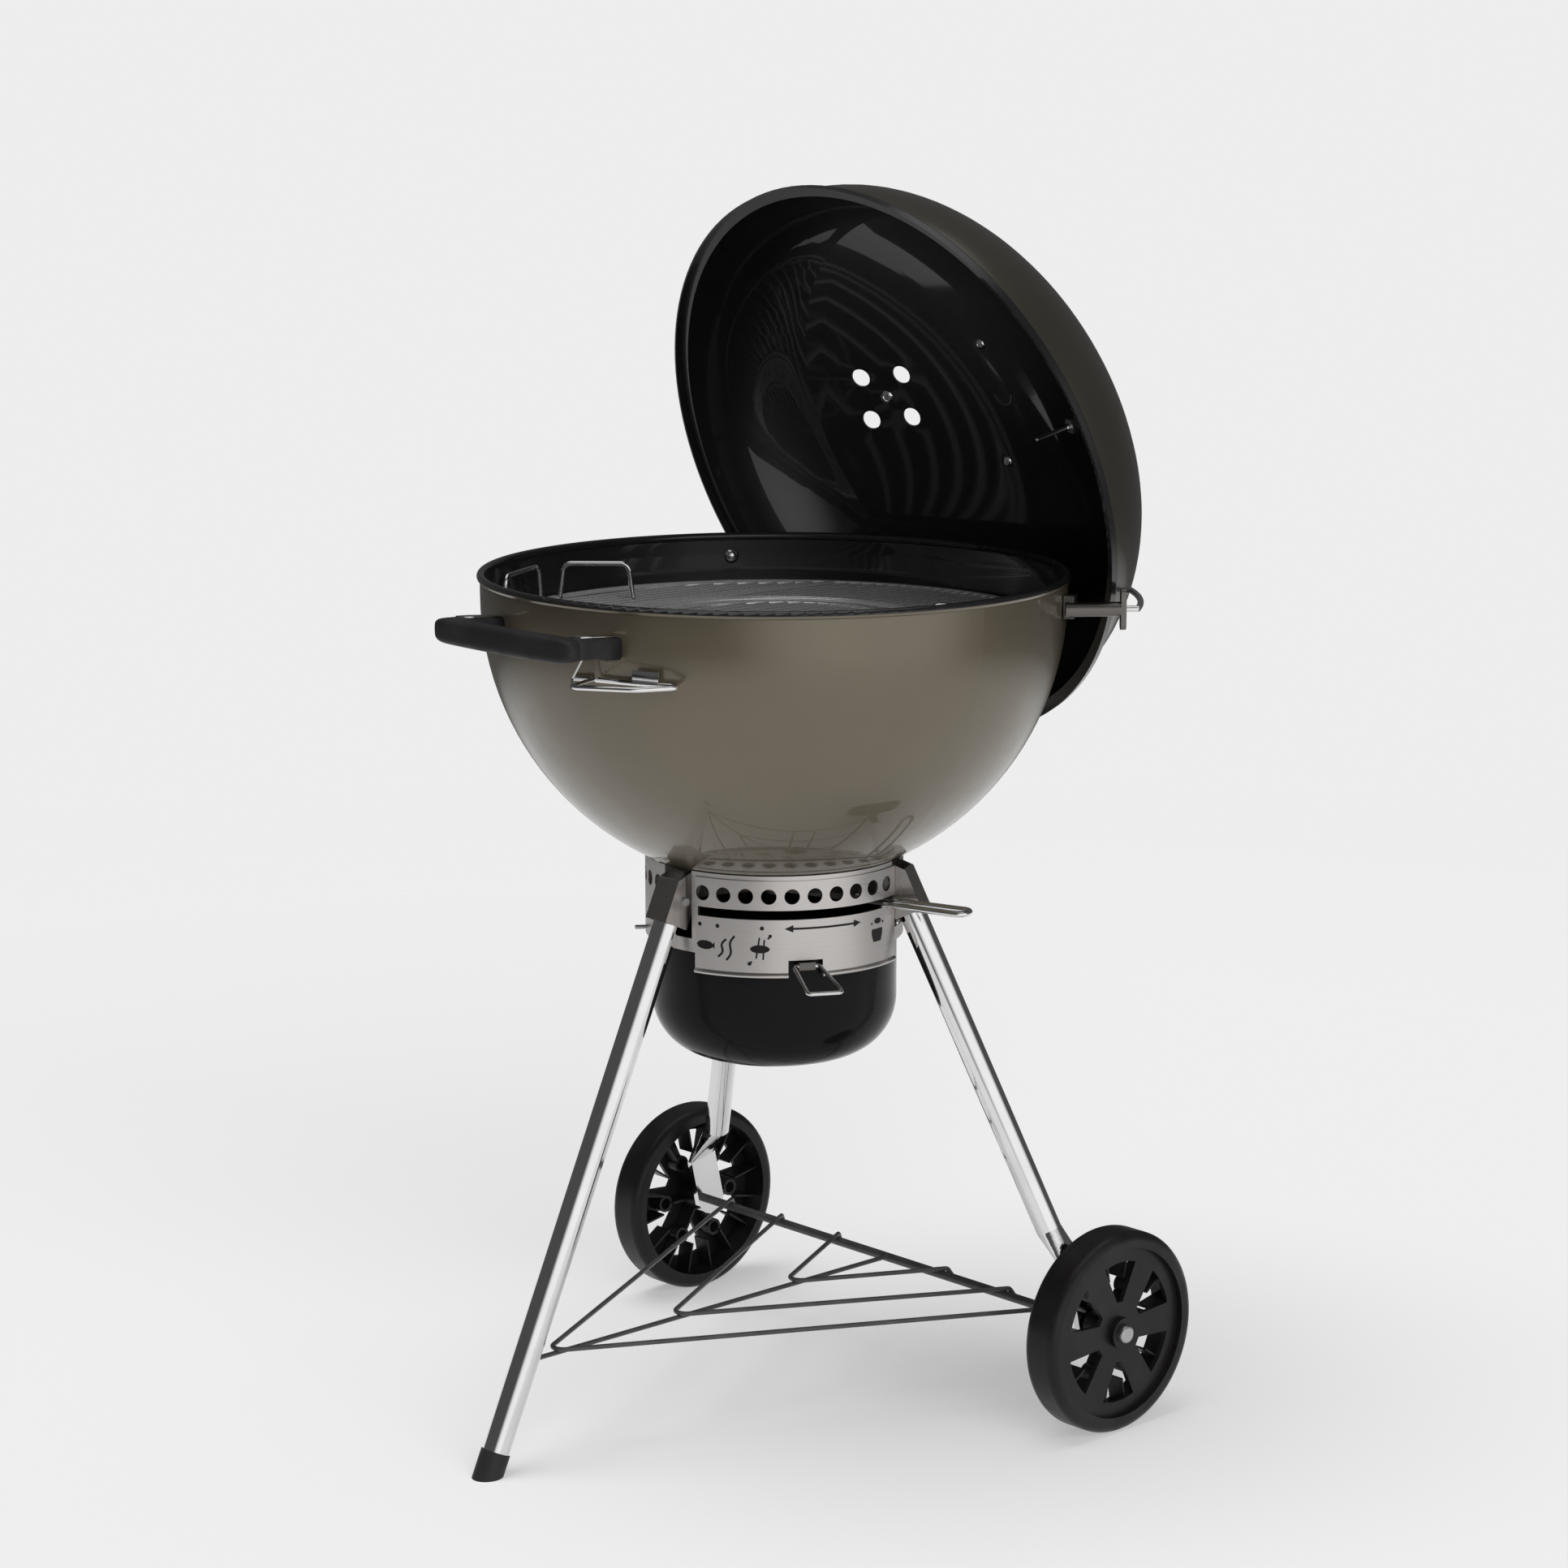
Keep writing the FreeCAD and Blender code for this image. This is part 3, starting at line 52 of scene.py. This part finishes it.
class Finish:
    """A Principled material that is put together from a few noise-driven parts."""

    def __init__(self, name, colour, roughness, metallic=0.0, **sockets):
        self.material = bpy.data.materials.new(name)
        self.material.use_nodes = True
        self.tree = self.material.node_tree
        self.shader = self.tree.nodes["Principled BSDF"]
        self.shader.inputs["Base Color"].default_value = (*colour, 1)
        self.shader.inputs["Roughness"].default_value = roughness
        self.shader.inputs["Metallic"].default_value = metallic
        for key, value in sockets.items():
            self.shader.inputs[key.replace("_", " ")].default_value = value
        self.place = self.node("ShaderNodeTexCoord").outputs["Object"]

    def node(self, kind, **settings):
        made = self.tree.nodes.new(kind)
        for key, value in settings.items():
            setattr(made, key, value)
        return made

    def link(self, output, target):
        self.tree.links.new(output, target)

    def noise(self, scale, detail=2.0, stretch=(1, 1, 1)):
        mapping = self.node("ShaderNodeMapping")
        mapping.inputs["Scale"].default_value = stretch
        self.link(self.place, mapping.inputs["Vector"])
        texture = self.node("ShaderNodeTexNoise")
        texture.inputs["Scale"].default_value = scale
        texture.inputs["Detail"].default_value = detail
        self.link(mapping.outputs["Vector"], texture.inputs["Vector"])
        return texture.outputs["Fac"]

    def spread(self, value, low, high, start=0.3, end=0.7):
        """A value between start and end, spread to between low and high."""
        ranged = self.node("ShaderNodeMapRange")
        ranged.inputs["From Min"].default_value = start
        ranged.inputs["From Max"].default_value = end
        ranged.inputs["To Min"].default_value = low
        ranged.inputs["To Max"].default_value = high
        self.link(value, ranged.inputs["Value"])
        return ranged.outputs["Result"]

    def maths(self, operation, first, second=0.0):
        made = self.node("ShaderNodeMath", operation=operation)
        for socket, value in zip(made.inputs, (first, second)):
            if isinstance(value, (int, float)):
                socket.default_value = value
            else:
                self.link(value, socket)
        return made.outputs[0]

    def mixed(self, factor, first, second):
        """A colour between two, each a colour or an output."""
        made = self.node("ShaderNodeMix", data_type="RGBA")
        self.link(factor, made.inputs["Factor"])
        for socket, value in ((made.inputs[6], first), (made.inputs[7], second)):
            if isinstance(value, tuple):
                socket.default_value = (*value, 1)
            else:
                self.link(value, socket)
        return made.outputs[2]

    def colour(self, output):
        self.link(output, self.shader.inputs["Base Color"])

    def rough(self, output):
        self.link(output, self.shader.inputs["Roughness"])

    def bump(self, height, strength, distance=0.0005):
        made = self.node("ShaderNodeBump")
        made.inputs["Strength"].default_value = strength
        made.inputs["Distance"].default_value = distance
        self.link(height, made.inputs["Height"])
        self.link(made.outputs["Normal"], self.shader.inputs["Normal"])
        return self

    def outward(self, centre):
        """1 where the surface faces away from a point, 0 where it faces it."""
        geometry = self.node("ShaderNodeNewGeometry")
        away = self.node("ShaderNodeVectorMath", operation="SUBTRACT")
        self.link(self.place, away.inputs[0])
        away.inputs[1].default_value = centre
        facing = self.node("ShaderNodeVectorMath", operation="DOT_PRODUCT")
        self.link(away.outputs["Vector"], facing.inputs[0])
        self.link(geometry.outputs["Normal"], facing.inputs[1])
        return self.maths("GREATER_THAN", facing.outputs["Value"], 0.0)

    def beyond(self, origin, axis, distance):
        """1 past a distance from a point along an axis, 0 before it."""
        away = self.node("ShaderNodeVectorMath", operation="SUBTRACT")
        self.link(self.place, away.inputs[0])
        away.inputs[1].default_value = origin
        along = self.node("ShaderNodeVectorMath", operation="DOT_PRODUCT")
        self.link(away.outputs["Vector"], along.inputs[0])
        along.inputs[1].default_value = axis
        return self.maths("GREATER_THAN", along.outputs["Value"], distance)


BLACK_ENAMEL = (0.0045, 0.0045, 0.0048)
SMOKE_GREY = (0.135, 0.114, 0.080)
# painted shade: the lid has the same smoke enamel as the bowl, but it is given this darker grey because
# its outside is seen at a grazing angle
LID_SHADED_GREY = (0.05, 0.045, 0.036)


def enamel(name, colour, centre, rim, rim_axis, rim_depth):
    """Smoke enamel: a deep metallic grey under clear gloss, black within and at the rim."""
    paint = Finish(name, colour, 0.4, Coat_Weight=0.7, Coat_Roughness=0.03, Specular_IOR_Level=0.3)
    cloud = paint.spread(paint.noise(7.0, 3.0), 0.0, 1.0)
    deeper = tuple(c * 0.92 for c in colour)
    shade = paint.mixed(cloud, deeper, colour)
    smoke = paint.maths("MULTIPLY", paint.outward(centre), paint.beyond(rim, rim_axis, rim_depth))
    paint.colour(paint.mixed(smoke, BLACK_ENAMEL, shade))
    paint.rough(paint.spread(paint.noise(40.0, 4.0), 0.33, 0.39))
    paint.link(paint.spread(smoke, 0.0, 0.65, 0.0, 1.0), paint.shader.inputs["Metallic"])
    return paint.bump(paint.noise(90.0, 2.0), 0.03, 0.0003).material


def plain_enamel(name, colour):
    paint = Finish(name, colour, 0.12, Specular_IOR_Level=0.1)
    paint.rough(paint.spread(paint.noise(45.0, 4.0), 0.09, 0.16))
    return paint.bump(paint.noise(110.0, 2.0), 0.04, 0.0004).material


def brushed(name, colour, stretch, low=0.24, high=0.42):
    """Brushed steel; its lines run along the axes with a small stretch."""
    paint = Finish(name, colour, 0.3, metallic=1.0)
    lines = paint.noise(1.0, 6.0, stretch)
    blotch = paint.noise(14.0, 3.0)
    darker = tuple(c * 0.9 for c in colour)
    paint.colour(paint.mixed(paint.spread(lines, 0.0, 1.0), darker, colour))
    paint.rough(paint.maths("ADD", paint.spread(lines, low, high), paint.spread(blotch, 0.0, 0.06)))
    return paint.bump(lines, 0.12, 0.0002).material


def polished(name, colour, low=0.05, high=0.12, metallic=1.0):
    """Chrome or plated wire with faint handling marks."""
    paint = Finish(name, colour, low, metallic=metallic)
    paint.rough(paint.spread(paint.noise(60.0, 5.0), low, high, 0.35, 0.75))
    dull = tuple(c * 0.93 for c in colour)
    paint.colour(paint.mixed(paint.spread(paint.noise(25.0, 4.0), 0.0, 1.0), dull, colour))
    return paint.bump(paint.noise(200.0, 2.0), 0.02, 0.0002).material


def moulded(name, colour, low=0.42, high=0.58, grain=1400.0, strength=0.18):
    """Moulded plastic: a fine grain, with slightly greyer worn patches."""
    paint = Finish(name, colour, 0.5, Specular_IOR_Level=0.25)
    worn = tuple(min(c * 1.35 + 0.004, 1.0) for c in colour)
    patches = paint.spread(paint.noise(18.0, 5.0), 0.0, 1.0, 0.45, 0.75)
    paint.colour(paint.mixed(patches, colour, worn))
    paint.rough(paint.spread(paint.noise(70.0, 4.0), low, high))
    return paint.bump(paint.noise(grain, 2.0), strength, 0.0001).material


def coated_wire(name, colour):
    paint = Finish(name, colour, 0.4, Coat_Weight=0.15, Coat_Roughness=0.3)
    paint.rough(paint.spread(paint.noise(120.0, 4.0), 0.32, 0.52))
    lighter = tuple(min(c * 1.5, 1.0) for c in colour)
    paint.colour(paint.mixed(paint.spread(paint.noise(50.0, 4.0), 0.0, 1.0, 0.4, 0.8), colour, lighter))
    return paint.bump(paint.noise(600.0, 2.0), 0.15, 0.0001).material


def clear_glass(name):
    paint = Finish(name, (0.95, 0.97, 0.97), 0.03, Transmission_Weight=1.0, IOR=1.45)
    return paint.bump(paint.noise(30.0, 1.0), 0.01, 0.0001).material


def dial_face(name):
    paint = Finish(name, (0.8, 0.8, 0.78), 0.35)
    speckle = paint.spread(paint.noise(300.0, 3.0), 0.0, 1.0)
    paint.colour(paint.mixed(speckle, (0.78, 0.78, 0.76), (0.84, 0.84, 0.82)))
    return paint.material


ROUND_LINES = (14.0, 14.0, 1500.0)
LENGTHWISE_LINES = (900.0, 900.0, 25.0)

bowl_rim = (0, 0, BOWL_RIM_HEIGHT)
bowl_enamel = enamel("smoke_enamel_bowl", SMOKE_GREY, tuple(BOWL_CENTRE), bowl_rim, (0, 0, -1), 0.0)
lid_axis = Matrix.Rotation(LID_TILT, 3, "X") @ Vector((0, 0, 1))
lid_centre = LID_ORIGIN + lid_axis * 0.02
lid_place = (tuple(lid_centre), tuple(LID_ORIGIN), tuple(lid_axis), LID_RIM_DEPTH)
# the lid's enamel takes the darker grey, which is painted shade
lid_enamel = enamel("smoke_enamel_lid_shaded", LID_SHADED_GREY, *lid_place)
black_enamel = plain_enamel("black_enamel", BLACK_ENAMEL)
satin_band = brushed("satin_band", (0.57, 0.545, 0.53), ROUND_LINES)
satin_steel = brushed("satin_steel", (0.6, 0.59, 0.57), (300.0, 300.0, 300.0))
socket_steel = brushed("socket_steel", (0.46, 0.43, 0.41), LENGTHWISE_LINES, 0.2, 0.34)
holder_steel = brushed("holder_steel", (0.16, 0.15, 0.14), (400.0, 400.0, 400.0), 0.28, 0.4)
chrome = polished("chrome", (0.78, 0.78, 0.78))
bright_wire = polished("bright_wire", (0.72, 0.72, 0.72), 0.08, 0.2)
grate_wire = polished("grate_wire", (0.6, 0.6, 0.6), 0.2, 0.34, 0.85)
dark_wire = coated_wire("dark_wire", (0.03, 0.03, 0.031))
black_plastic = moulded("black_plastic", (0.011, 0.011, 0.012))
wheel_plastic = moulded("wheel_plastic", (0.006, 0.0052, 0.0055), 0.32, 0.44)
zinc = brushed("zinc", (0.5, 0.5, 0.5), (200.0, 200.0, 200.0), 0.3, 0.45)
glass = clear_glass("lens_glass")
dial_paint = dial_face("dial_face")
ink_paint = moulded("ink_paint", (0.005, 0.004, 0.004), 0.5, 0.65, 300.0, 0.03)

FINISHES = {
    "bowl": bowl_enamel,
    "lid": lid_enamel,
    "ash_pot": black_enamel,
    "ash_ring": satin_band,
    "control_panel": satin_band,
    "bowl_handle": black_plastic,
    "lid_handle": black_plastic,
    "foot_cap": black_plastic,
    "gauge_pointer": black_plastic,
    "wheel_right": wheel_plastic,
    "wheel_left": wheel_plastic,
    "gauge_lens": glass,
    "gauge_dial": dial_paint,
    "tool_hook": chrome,
    "sweeper_lever": bright_wire,
    "pot_bail": bright_wire,
    "lid_holder_hoop": bright_wire,
    "cooking_grate": grate_wire,
    "grate_flap_right": grate_wire,
    "grate_flap_left": grate_wire,
    "grate_insert": grate_wire,
    "charcoal_grate": grate_wire,
    "grate_handles": bright_wire,
    "flap_handle_right": bright_wire,
    "flap_handle_left": bright_wire,
    "bail_bracket": holder_steel,
}
GROUPS = (
    ("leg_socket_", socket_steel),
    ("leg_clip_", zinc),
    ("leg_", chrome),
    ("lid_holder_bolts", bright_wire),
    ("lid_holder_", holder_steel),
    ("rack_", dark_wire),
    ("axle_", zinc),
    ("axle", dark_wire),
    ("handle_bolts", chrome),
    ("lid_handle_bolts", chrome),
    ("damper_rivet", chrome),
    ("gauge_probe", chrome),
    ("grate_brackets", zinc),
    ("pot_latch_pins", zinc),
)


def finish_of(name):
    if name in FINISHES:
        return FINISHES[name]
    for start, material in GROUPS:
        if name.startswith(start):
            return material
    return satin_steel


def dress(piece, material):
    """Gives a piece this material alone."""
    piece.data.materials.clear()
    piece.data.materials.append(material)


for name, piece in NODES.items():
    dress(piece, finish_of(name))


# ---------------------------------------------------------------- mesh helpers


def new_piece(name, mesh, material, body):
    """A mesh that becomes a piece riding on a CAD body, dressed in the given material."""
    piece = bpy.data.objects.new(name, mesh)
    bpy.context.collection.objects.link(piece)
    dress(piece, material)
    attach(piece, body)
    return piece


def mesh_from(name, points, faces, smooth):
    mesh = bpy.data.meshes.new(name)
    mesh.from_pydata([tuple(p) for p in points], [], faces)
    for face in mesh.polygons:
        face.use_smooth = smooth
    mesh.update()
    return mesh


class Builder:
    """Gathers closed lumps of mesh that are then made into one piece."""

    def __init__(self):
        self.points = []
        self.faces = []

    def add(self, points, faces):
        start = len(self.points)
        self.points += points
        self.faces += [tuple(start + i for i in face) for face in faces]

    def prism(self, low, high):
        """Closes two matching outlines, one behind the other, into a solid."""
        n = len(low)
        sides = [(i, (i + 1) % n, n + (i + 1) % n, n + i) for i in range(n)]
        self.add(list(low) + list(high), sides + [tuple(range(n))[::-1], tuple(range(n, 2 * n))])

    def loft(self, rings):
        """Joins rings of equal length into a closed tube with capped ends."""
        n = len(rings[0])
        points = [p for ring in rings for p in ring]
        faces = []
        for k in range(len(rings) - 1):
            a, b = k * n, (k + 1) * n
            faces += [(a + i, a + (i + 1) % n, b + (i + 1) % n, b + i) for i in range(n)]
        last = (len(rings) - 1) * n
        faces += [tuple(range(n))[::-1], tuple(range(last, last + n))]
        self.add(points, faces)

    def mesh(self, name, smooth=False):
        made = mesh_from(name, self.points, self.faces, smooth)
        cleaned = bmesh.new()
        cleaned.from_mesh(made)
        bmesh.ops.recalc_face_normals(cleaned, faces=cleaned.faces)
        cleaned.to_mesh(made)
        cleaned.free()
        return made


def polar(radius, degrees, z=0.0):
    angle = math.radians(degrees)
    return Vector((radius * math.cos(angle), radius * math.sin(angle), z))


# ---------------------------------------------------------------- panel icons


class Print:
    """Dark pictures printed on the control panel, in degrees round it and millimetres up."""

    DEGREE = PANEL_RADIUS * math.pi / 180 / MM  # millimetres in a degree of the panel
    SUNK = 0.1 * MM
    RAISED = 0.15 * MM

    def __init__(self):
        self.builder = Builder()

    def fill(self, outline):
        """A closed outline of (degrees, height) points."""
        low = [polar(PANEL_RADIUS - self.SUNK, a, z * MM) for a, z in outline]
        high = [polar(PANEL_RADIUS + self.RAISED, a, z * MM) for a, z in outline]
        self.builder.prism(low, high)

    def strips(self, left, right, low, high, count=12):
        """A shape between two curves of height, in strips narrow enough to follow the panel."""
        width = (right - left) / count
        for k in range(count):
            a, b = left + k * width, left + (k + 1) * width
            self.fill([(a, low(a)), (b, low(b)), (b, high(b)), (a, high(a))])

    def spot(self, angle, z, wide, tall):
        """A filled oval; wide and tall are its half sizes in millimetres."""
        wide = wide / self.DEGREE

        def rise(a):
            return tall * math.sqrt(max(1.0 - ((a - angle) / wide) ** 2, 0.002))

        self.strips(angle - wide, angle + wide, lambda a: z - rise(a), lambda a: z + rise(a))

    def stroke(self, path, width):
        """A line of this width in millimetres through the points."""
        for (a, z), (b, y) in zip(path, path[1:]):
            run = Vector(((b - a) * self.DEGREE, y - z)).normalized() * width / 2
            side = Vector((-run.y / self.DEGREE, run.x))
            ahead = Vector((run.x / self.DEGREE, run.y)) * 0.6
            self.fill([
                (a - ahead.x + side.x, z - ahead.y + side.y),
                (a - ahead.x - side.x, z - ahead.y - side.y),
                (b + ahead.x - side.x, y + ahead.y - side.y),
                (b + ahead.x + side.x, y + ahead.y + side.y),
            ])

    def wave(self, angle, low, high):
        """A rising wisp of smoke."""
        steps = [k / 12 for k in range(13)]
        lean, sway = 3.4, 0.9
        bend = [angle + lean * t + sway * math.sin(2 * math.pi * t) for t in steps]
        self.stroke([(a, low + (high - low) * t) for a, t in zip(bend, steps)], 2.1)

    def arrow(self, start, end, z):
        """A level line with a head at each end."""
        steps = 24
        inset = 2.0
        head_long, head_tall = 3.8, 3.6
        run = end - start - 2 * inset
        self.stroke([(start + inset + run * k / steps, z) for k in range(steps + 1)], 2.0)
        for tip, way in ((start, 1), (end, -1)):
            back = tip + way * head_long
            self.fill([(tip, z), (back, z + head_tall), (back, z - head_tall)])


def make_panel_icons():
    """Dots, a fish with two wisps of smoke, skewered food, an arrow with two heads, and a bin."""
    ink = Print()
    for angle in (-76.4, -67.7, -47.9):
        ink.spot(angle, 500.5, 2.0, 2.0)
    ink.spot(-73.8, 480.8, 9.2, 4.3)
    ink.fill([(-70.6, 481.0), (-69.0, 484.2), (-69.2, 477.6)])
    ink.wave(-67.2, 471.0, 488.0)
    ink.wave(-63.4, 468.5, 491.5)
    ink.spot(-48.8, 480.2, 9.6, 3.9)
    ink.stroke([(-53.2, 465.5), (-44.6, 492.4)], 1.8)
    ink.stroke([(-50.4, 471.5), (-49.0, 491.0)], 1.6)
    ink.stroke([(-47.4, 470.5), (-46.9, 489.0)], 1.6)
    ink.spot(-44.4, 493.0, 1.7, 1.7)
    ink.spot(-53.3, 465.8, 1.9, 1.9)
    ink.arrow(-38.3, -2.4, 500.0)
    ink.strips(4.4, 11.6, lambda a: 477.4 + 6.0 * max(abs(a - 8.0) - 2.4, 0.0), lambda a: 490.0)
    ink.stroke([(4.2, 495.6), (12.2, 495.6)], 2.0)
    ink.spot(8.3, 497.6, 5.2, 2.8)
    new_piece("panel_icons", ink.builder.mesh("panel_icons"), ink_paint, "stand")


# ---------------------------------------------------------------- bowl handle


GRIP_PLACE = Vector((0, -331.0 * MM, 792.0 * MM))
GRIP_HALF = 100.0 * MM
GRIP_BOW = 5.0 * MM
GRIP_DEEP = 10.5 * MM  # half sizes of the bar's section
GRIP_TALL = 12.0 * MM
ARM_PLACE = 84 * MM  # each arm's distance from the middle
SECTION_POWER = 4.0  # 2 would make the sections ovals, and more squares their corners
ACROSS, BACK, UP = Vector((1, 0, 0)), Vector((0, 1, 0)), Vector((0, 0, 1))


def rounded_section(centre, across, wide, tall, sides=32):
    """A ring of points: a rectangle of these half sizes with well rounded corners."""
    ring = []
    for k in range(sides):
        turn = 2 * math.pi * (k + 0.5) / sides
        c, s = math.cos(turn), math.sin(turn)
        x = math.copysign(abs(c) ** (2 / SECTION_POWER), c) * wide
        y = math.copysign(abs(s) ** (2 / SECTION_POWER), s) * tall
        ring.append(centre + across * x + UP * y)
    return ring


def reach_back(builder, stations, sides):
    """A bar to the bowl on each side, through stations of y, z, half width and half height."""
    for side in (-1, 1):
        rings = []
        for y, z, wide, tall in stations:
            centre = Vector((side * ARM_PLACE, y * MM, z * MM))
            rings.append(rounded_section(centre, ACROSS, wide * MM, tall * MM, sides))
        builder.loft(rings)


def make_bowl_grip():
    """The moulded handle: a bowed bar with rounded ends, and two arms back to the bowl."""
    moulding = Builder()
    rings = []
    steps = 40
    for k in range(steps + 1):
        t = -math.cos(math.pi * k / steps)
        size = max(1 - abs(t) ** 14, 0.0) ** 0.5 * 0.94 + 0.06
        centre = Vector((GRIP_HALF * t, GRIP_PLACE.y - GRIP_BOW * (1 - t * t), GRIP_PLACE.z))
        rings.append(rounded_section(centre, BACK, GRIP_DEEP * size, GRIP_TALL * size))
    moulding.loft(rings)
    arm = ((-326, 792, 8.5, 11.0), (-312, 792, 8.0, 10.5), (-298, 791, 8.0, 10.0),
           (-287.5, 789, 9.5, 11.0), (-272, 788, 9.0, 10.5))
    reach_back(moulding, arm, 32)
    mesh = moulding.mesh("bowl_grip", True)
    grip = new_piece("bowl_grip", mesh, black_plastic, "stand")
    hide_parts("bowl_handle")


def make_grip_straps():
    """A bright strap along the top of each arm."""
    straps = Builder()
    path = ((-318, 802.6), (-304, 801.8), (-290, 800.6), (-273, 799.0))
    reach_back(straps, [(y, z, 6.5, 0.9) for y, z in path], 16)
    new_piece("grip_straps", straps.mesh("grip_straps", True), bright_wire, "stand")


# ---------------------------------------------------------------- stage


FLOOR_RADIUS = 3.0
FLOOR_GLOW = 0.37


def make_floor():
    """A pale disc of floor that fades into the backdrop a few metres out."""
    bpy.ops.mesh.primitive_circle_add(vertices=96, radius=FLOOR_RADIUS, fill_type="NGON")
    floor = bpy.context.object
    floor.name = "floor"
    glow = {"Specular_IOR_Level": 0.0, "Emission_Strength": FLOOR_GLOW}
    paint = Finish("floor_paint", (0.35, 0.35, 0.35), 0.9, **glow)
    paint.shader.inputs["Emission Color"].default_value = (1, 1, 1, 1)
    paint.colour(paint.mixed(paint.noise(0.6, 3.0), (0.347, 0.347, 0.347), (0.353, 0.353, 0.353)))
    reach = paint.node("ShaderNodeVectorMath", operation="LENGTH")
    paint.link(paint.place, reach.inputs[0])
    fade = paint.spread(reach.outputs["Value"], 1.0, 0.0, FLOOR_RADIUS * 0.6, FLOOR_RADIUS * 0.97)
    paint.link(fade, paint.shader.inputs["Alpha"])
    dress(floor, paint.material)


def make_sun(name, watts, tilt, turn, softness):
    """A broad light that falls evenly everywhere."""
    data = bpy.data.lights.new(name, "SUN")
    data.energy = watts
    data.angle = math.radians(softness)
    sun = bpy.data.objects.new(name, data)
    bpy.context.collection.objects.link(sun)
    sun.rotation_euler = (math.radians(tilt), 0, math.radians(turn))
    sun.visible_glossy = False


CAMERA_LENS = 89.80
CAMERA_PLACE = (2.7515, -2.5311, 1.3352)
CAMERA_DOWN = 10.897  # degrees that it looks below level
CAMERA_TURN = 47.244


def make_camera():
    """The photo's camera, as worked out from the round rims, the wheels and the foot."""
    data = bpy.data.cameras.new("camera")
    data.lens = CAMERA_LENS
    data.sensor_width = 36
    camera = bpy.data.objects.new("camera", data)
    bpy.context.collection.objects.link(camera)
    camera.location = CAMERA_PLACE
    camera.rotation_euler = (math.radians(90 - CAMERA_DOWN), 0, math.radians(CAMERA_TURN))
    bpy.context.scene.camera = camera


BACKDROP = 0.85
ROOM_GLOW = 0.08
OVERHEAD_GLOW = 0.9
FRONT_AZIMUTH = -8.0


def make_world():
    """A plain pale backdrop; the room around it is dim, with a soft box in front and one above."""
    world = bpy.data.worlds.new("studio")
    bpy.context.scene.world = world
    world.use_nodes = True
    tree = world.node_tree
    nodes, links = tree.nodes, tree.links
    background = nodes["Background"]

    def maths(operation, first, second):
        made = nodes.new("ShaderNodeMath")
        made.operation = operation
        for socket, value in zip(made.inputs, (first, second)):
            if isinstance(value, (int, float)):
                socket.default_value = value
            else:
                links.new(value, socket)
        return made.outputs[0]

    def step(value, start, end):
        """A soft step from 0 at start to 1 at end."""
        made = nodes.new("ShaderNodeMapRange")
        made.interpolation_type = "SMOOTHSTEP"
        made.inputs["From Min"].default_value = start
        made.inputs["From Max"].default_value = end
        links.new(value, made.inputs["Value"])
        return made.outputs["Result"]

    way = nodes.new("ShaderNodeTexCoord").outputs["Generated"]
    split = nodes.new("ShaderNodeSeparateXYZ")
    links.new(way, split.inputs[0])
    x, y, up = split.outputs
    front = polar(1.0, FRONT_AZIMUTH)
    toward = maths("ADD", maths("MULTIPLY", x, front.x), maths("MULTIPLY", y, front.y))
    box = maths("MULTIPLY", step(toward, 0.55, 0.92), step(up, 0.7, 0.45))
    overhead = maths("MULTIPLY", step(up, 0.82, 0.94), OVERHEAD_GLOW)
    level = maths("ADD", maths("ADD", box, ROOM_GLOW), overhead)
    seen = nodes.new("ShaderNodeLightPath").outputs["Is Camera Ray"]
    hidden = maths("MULTIPLY", level, maths("SUBTRACT", 1.0, seen))
    strength = maths("ADD", hidden, maths("MULTIPLY", seen, BACKDROP))
    links.new(strength, background.inputs["Strength"])
    background.inputs["Color"].default_value = (1, 1, 1, 1)


make_panel_icons()
make_bowl_grip()
make_grip_straps()
make_floor()
make_world()
make_sun("overhead", 2.3, 14, -40, 40)
make_sun("front", 2.3, 62, 68, 50)
make_camera()
bpy.context.scene.view_settings.view_transform = "Standard"
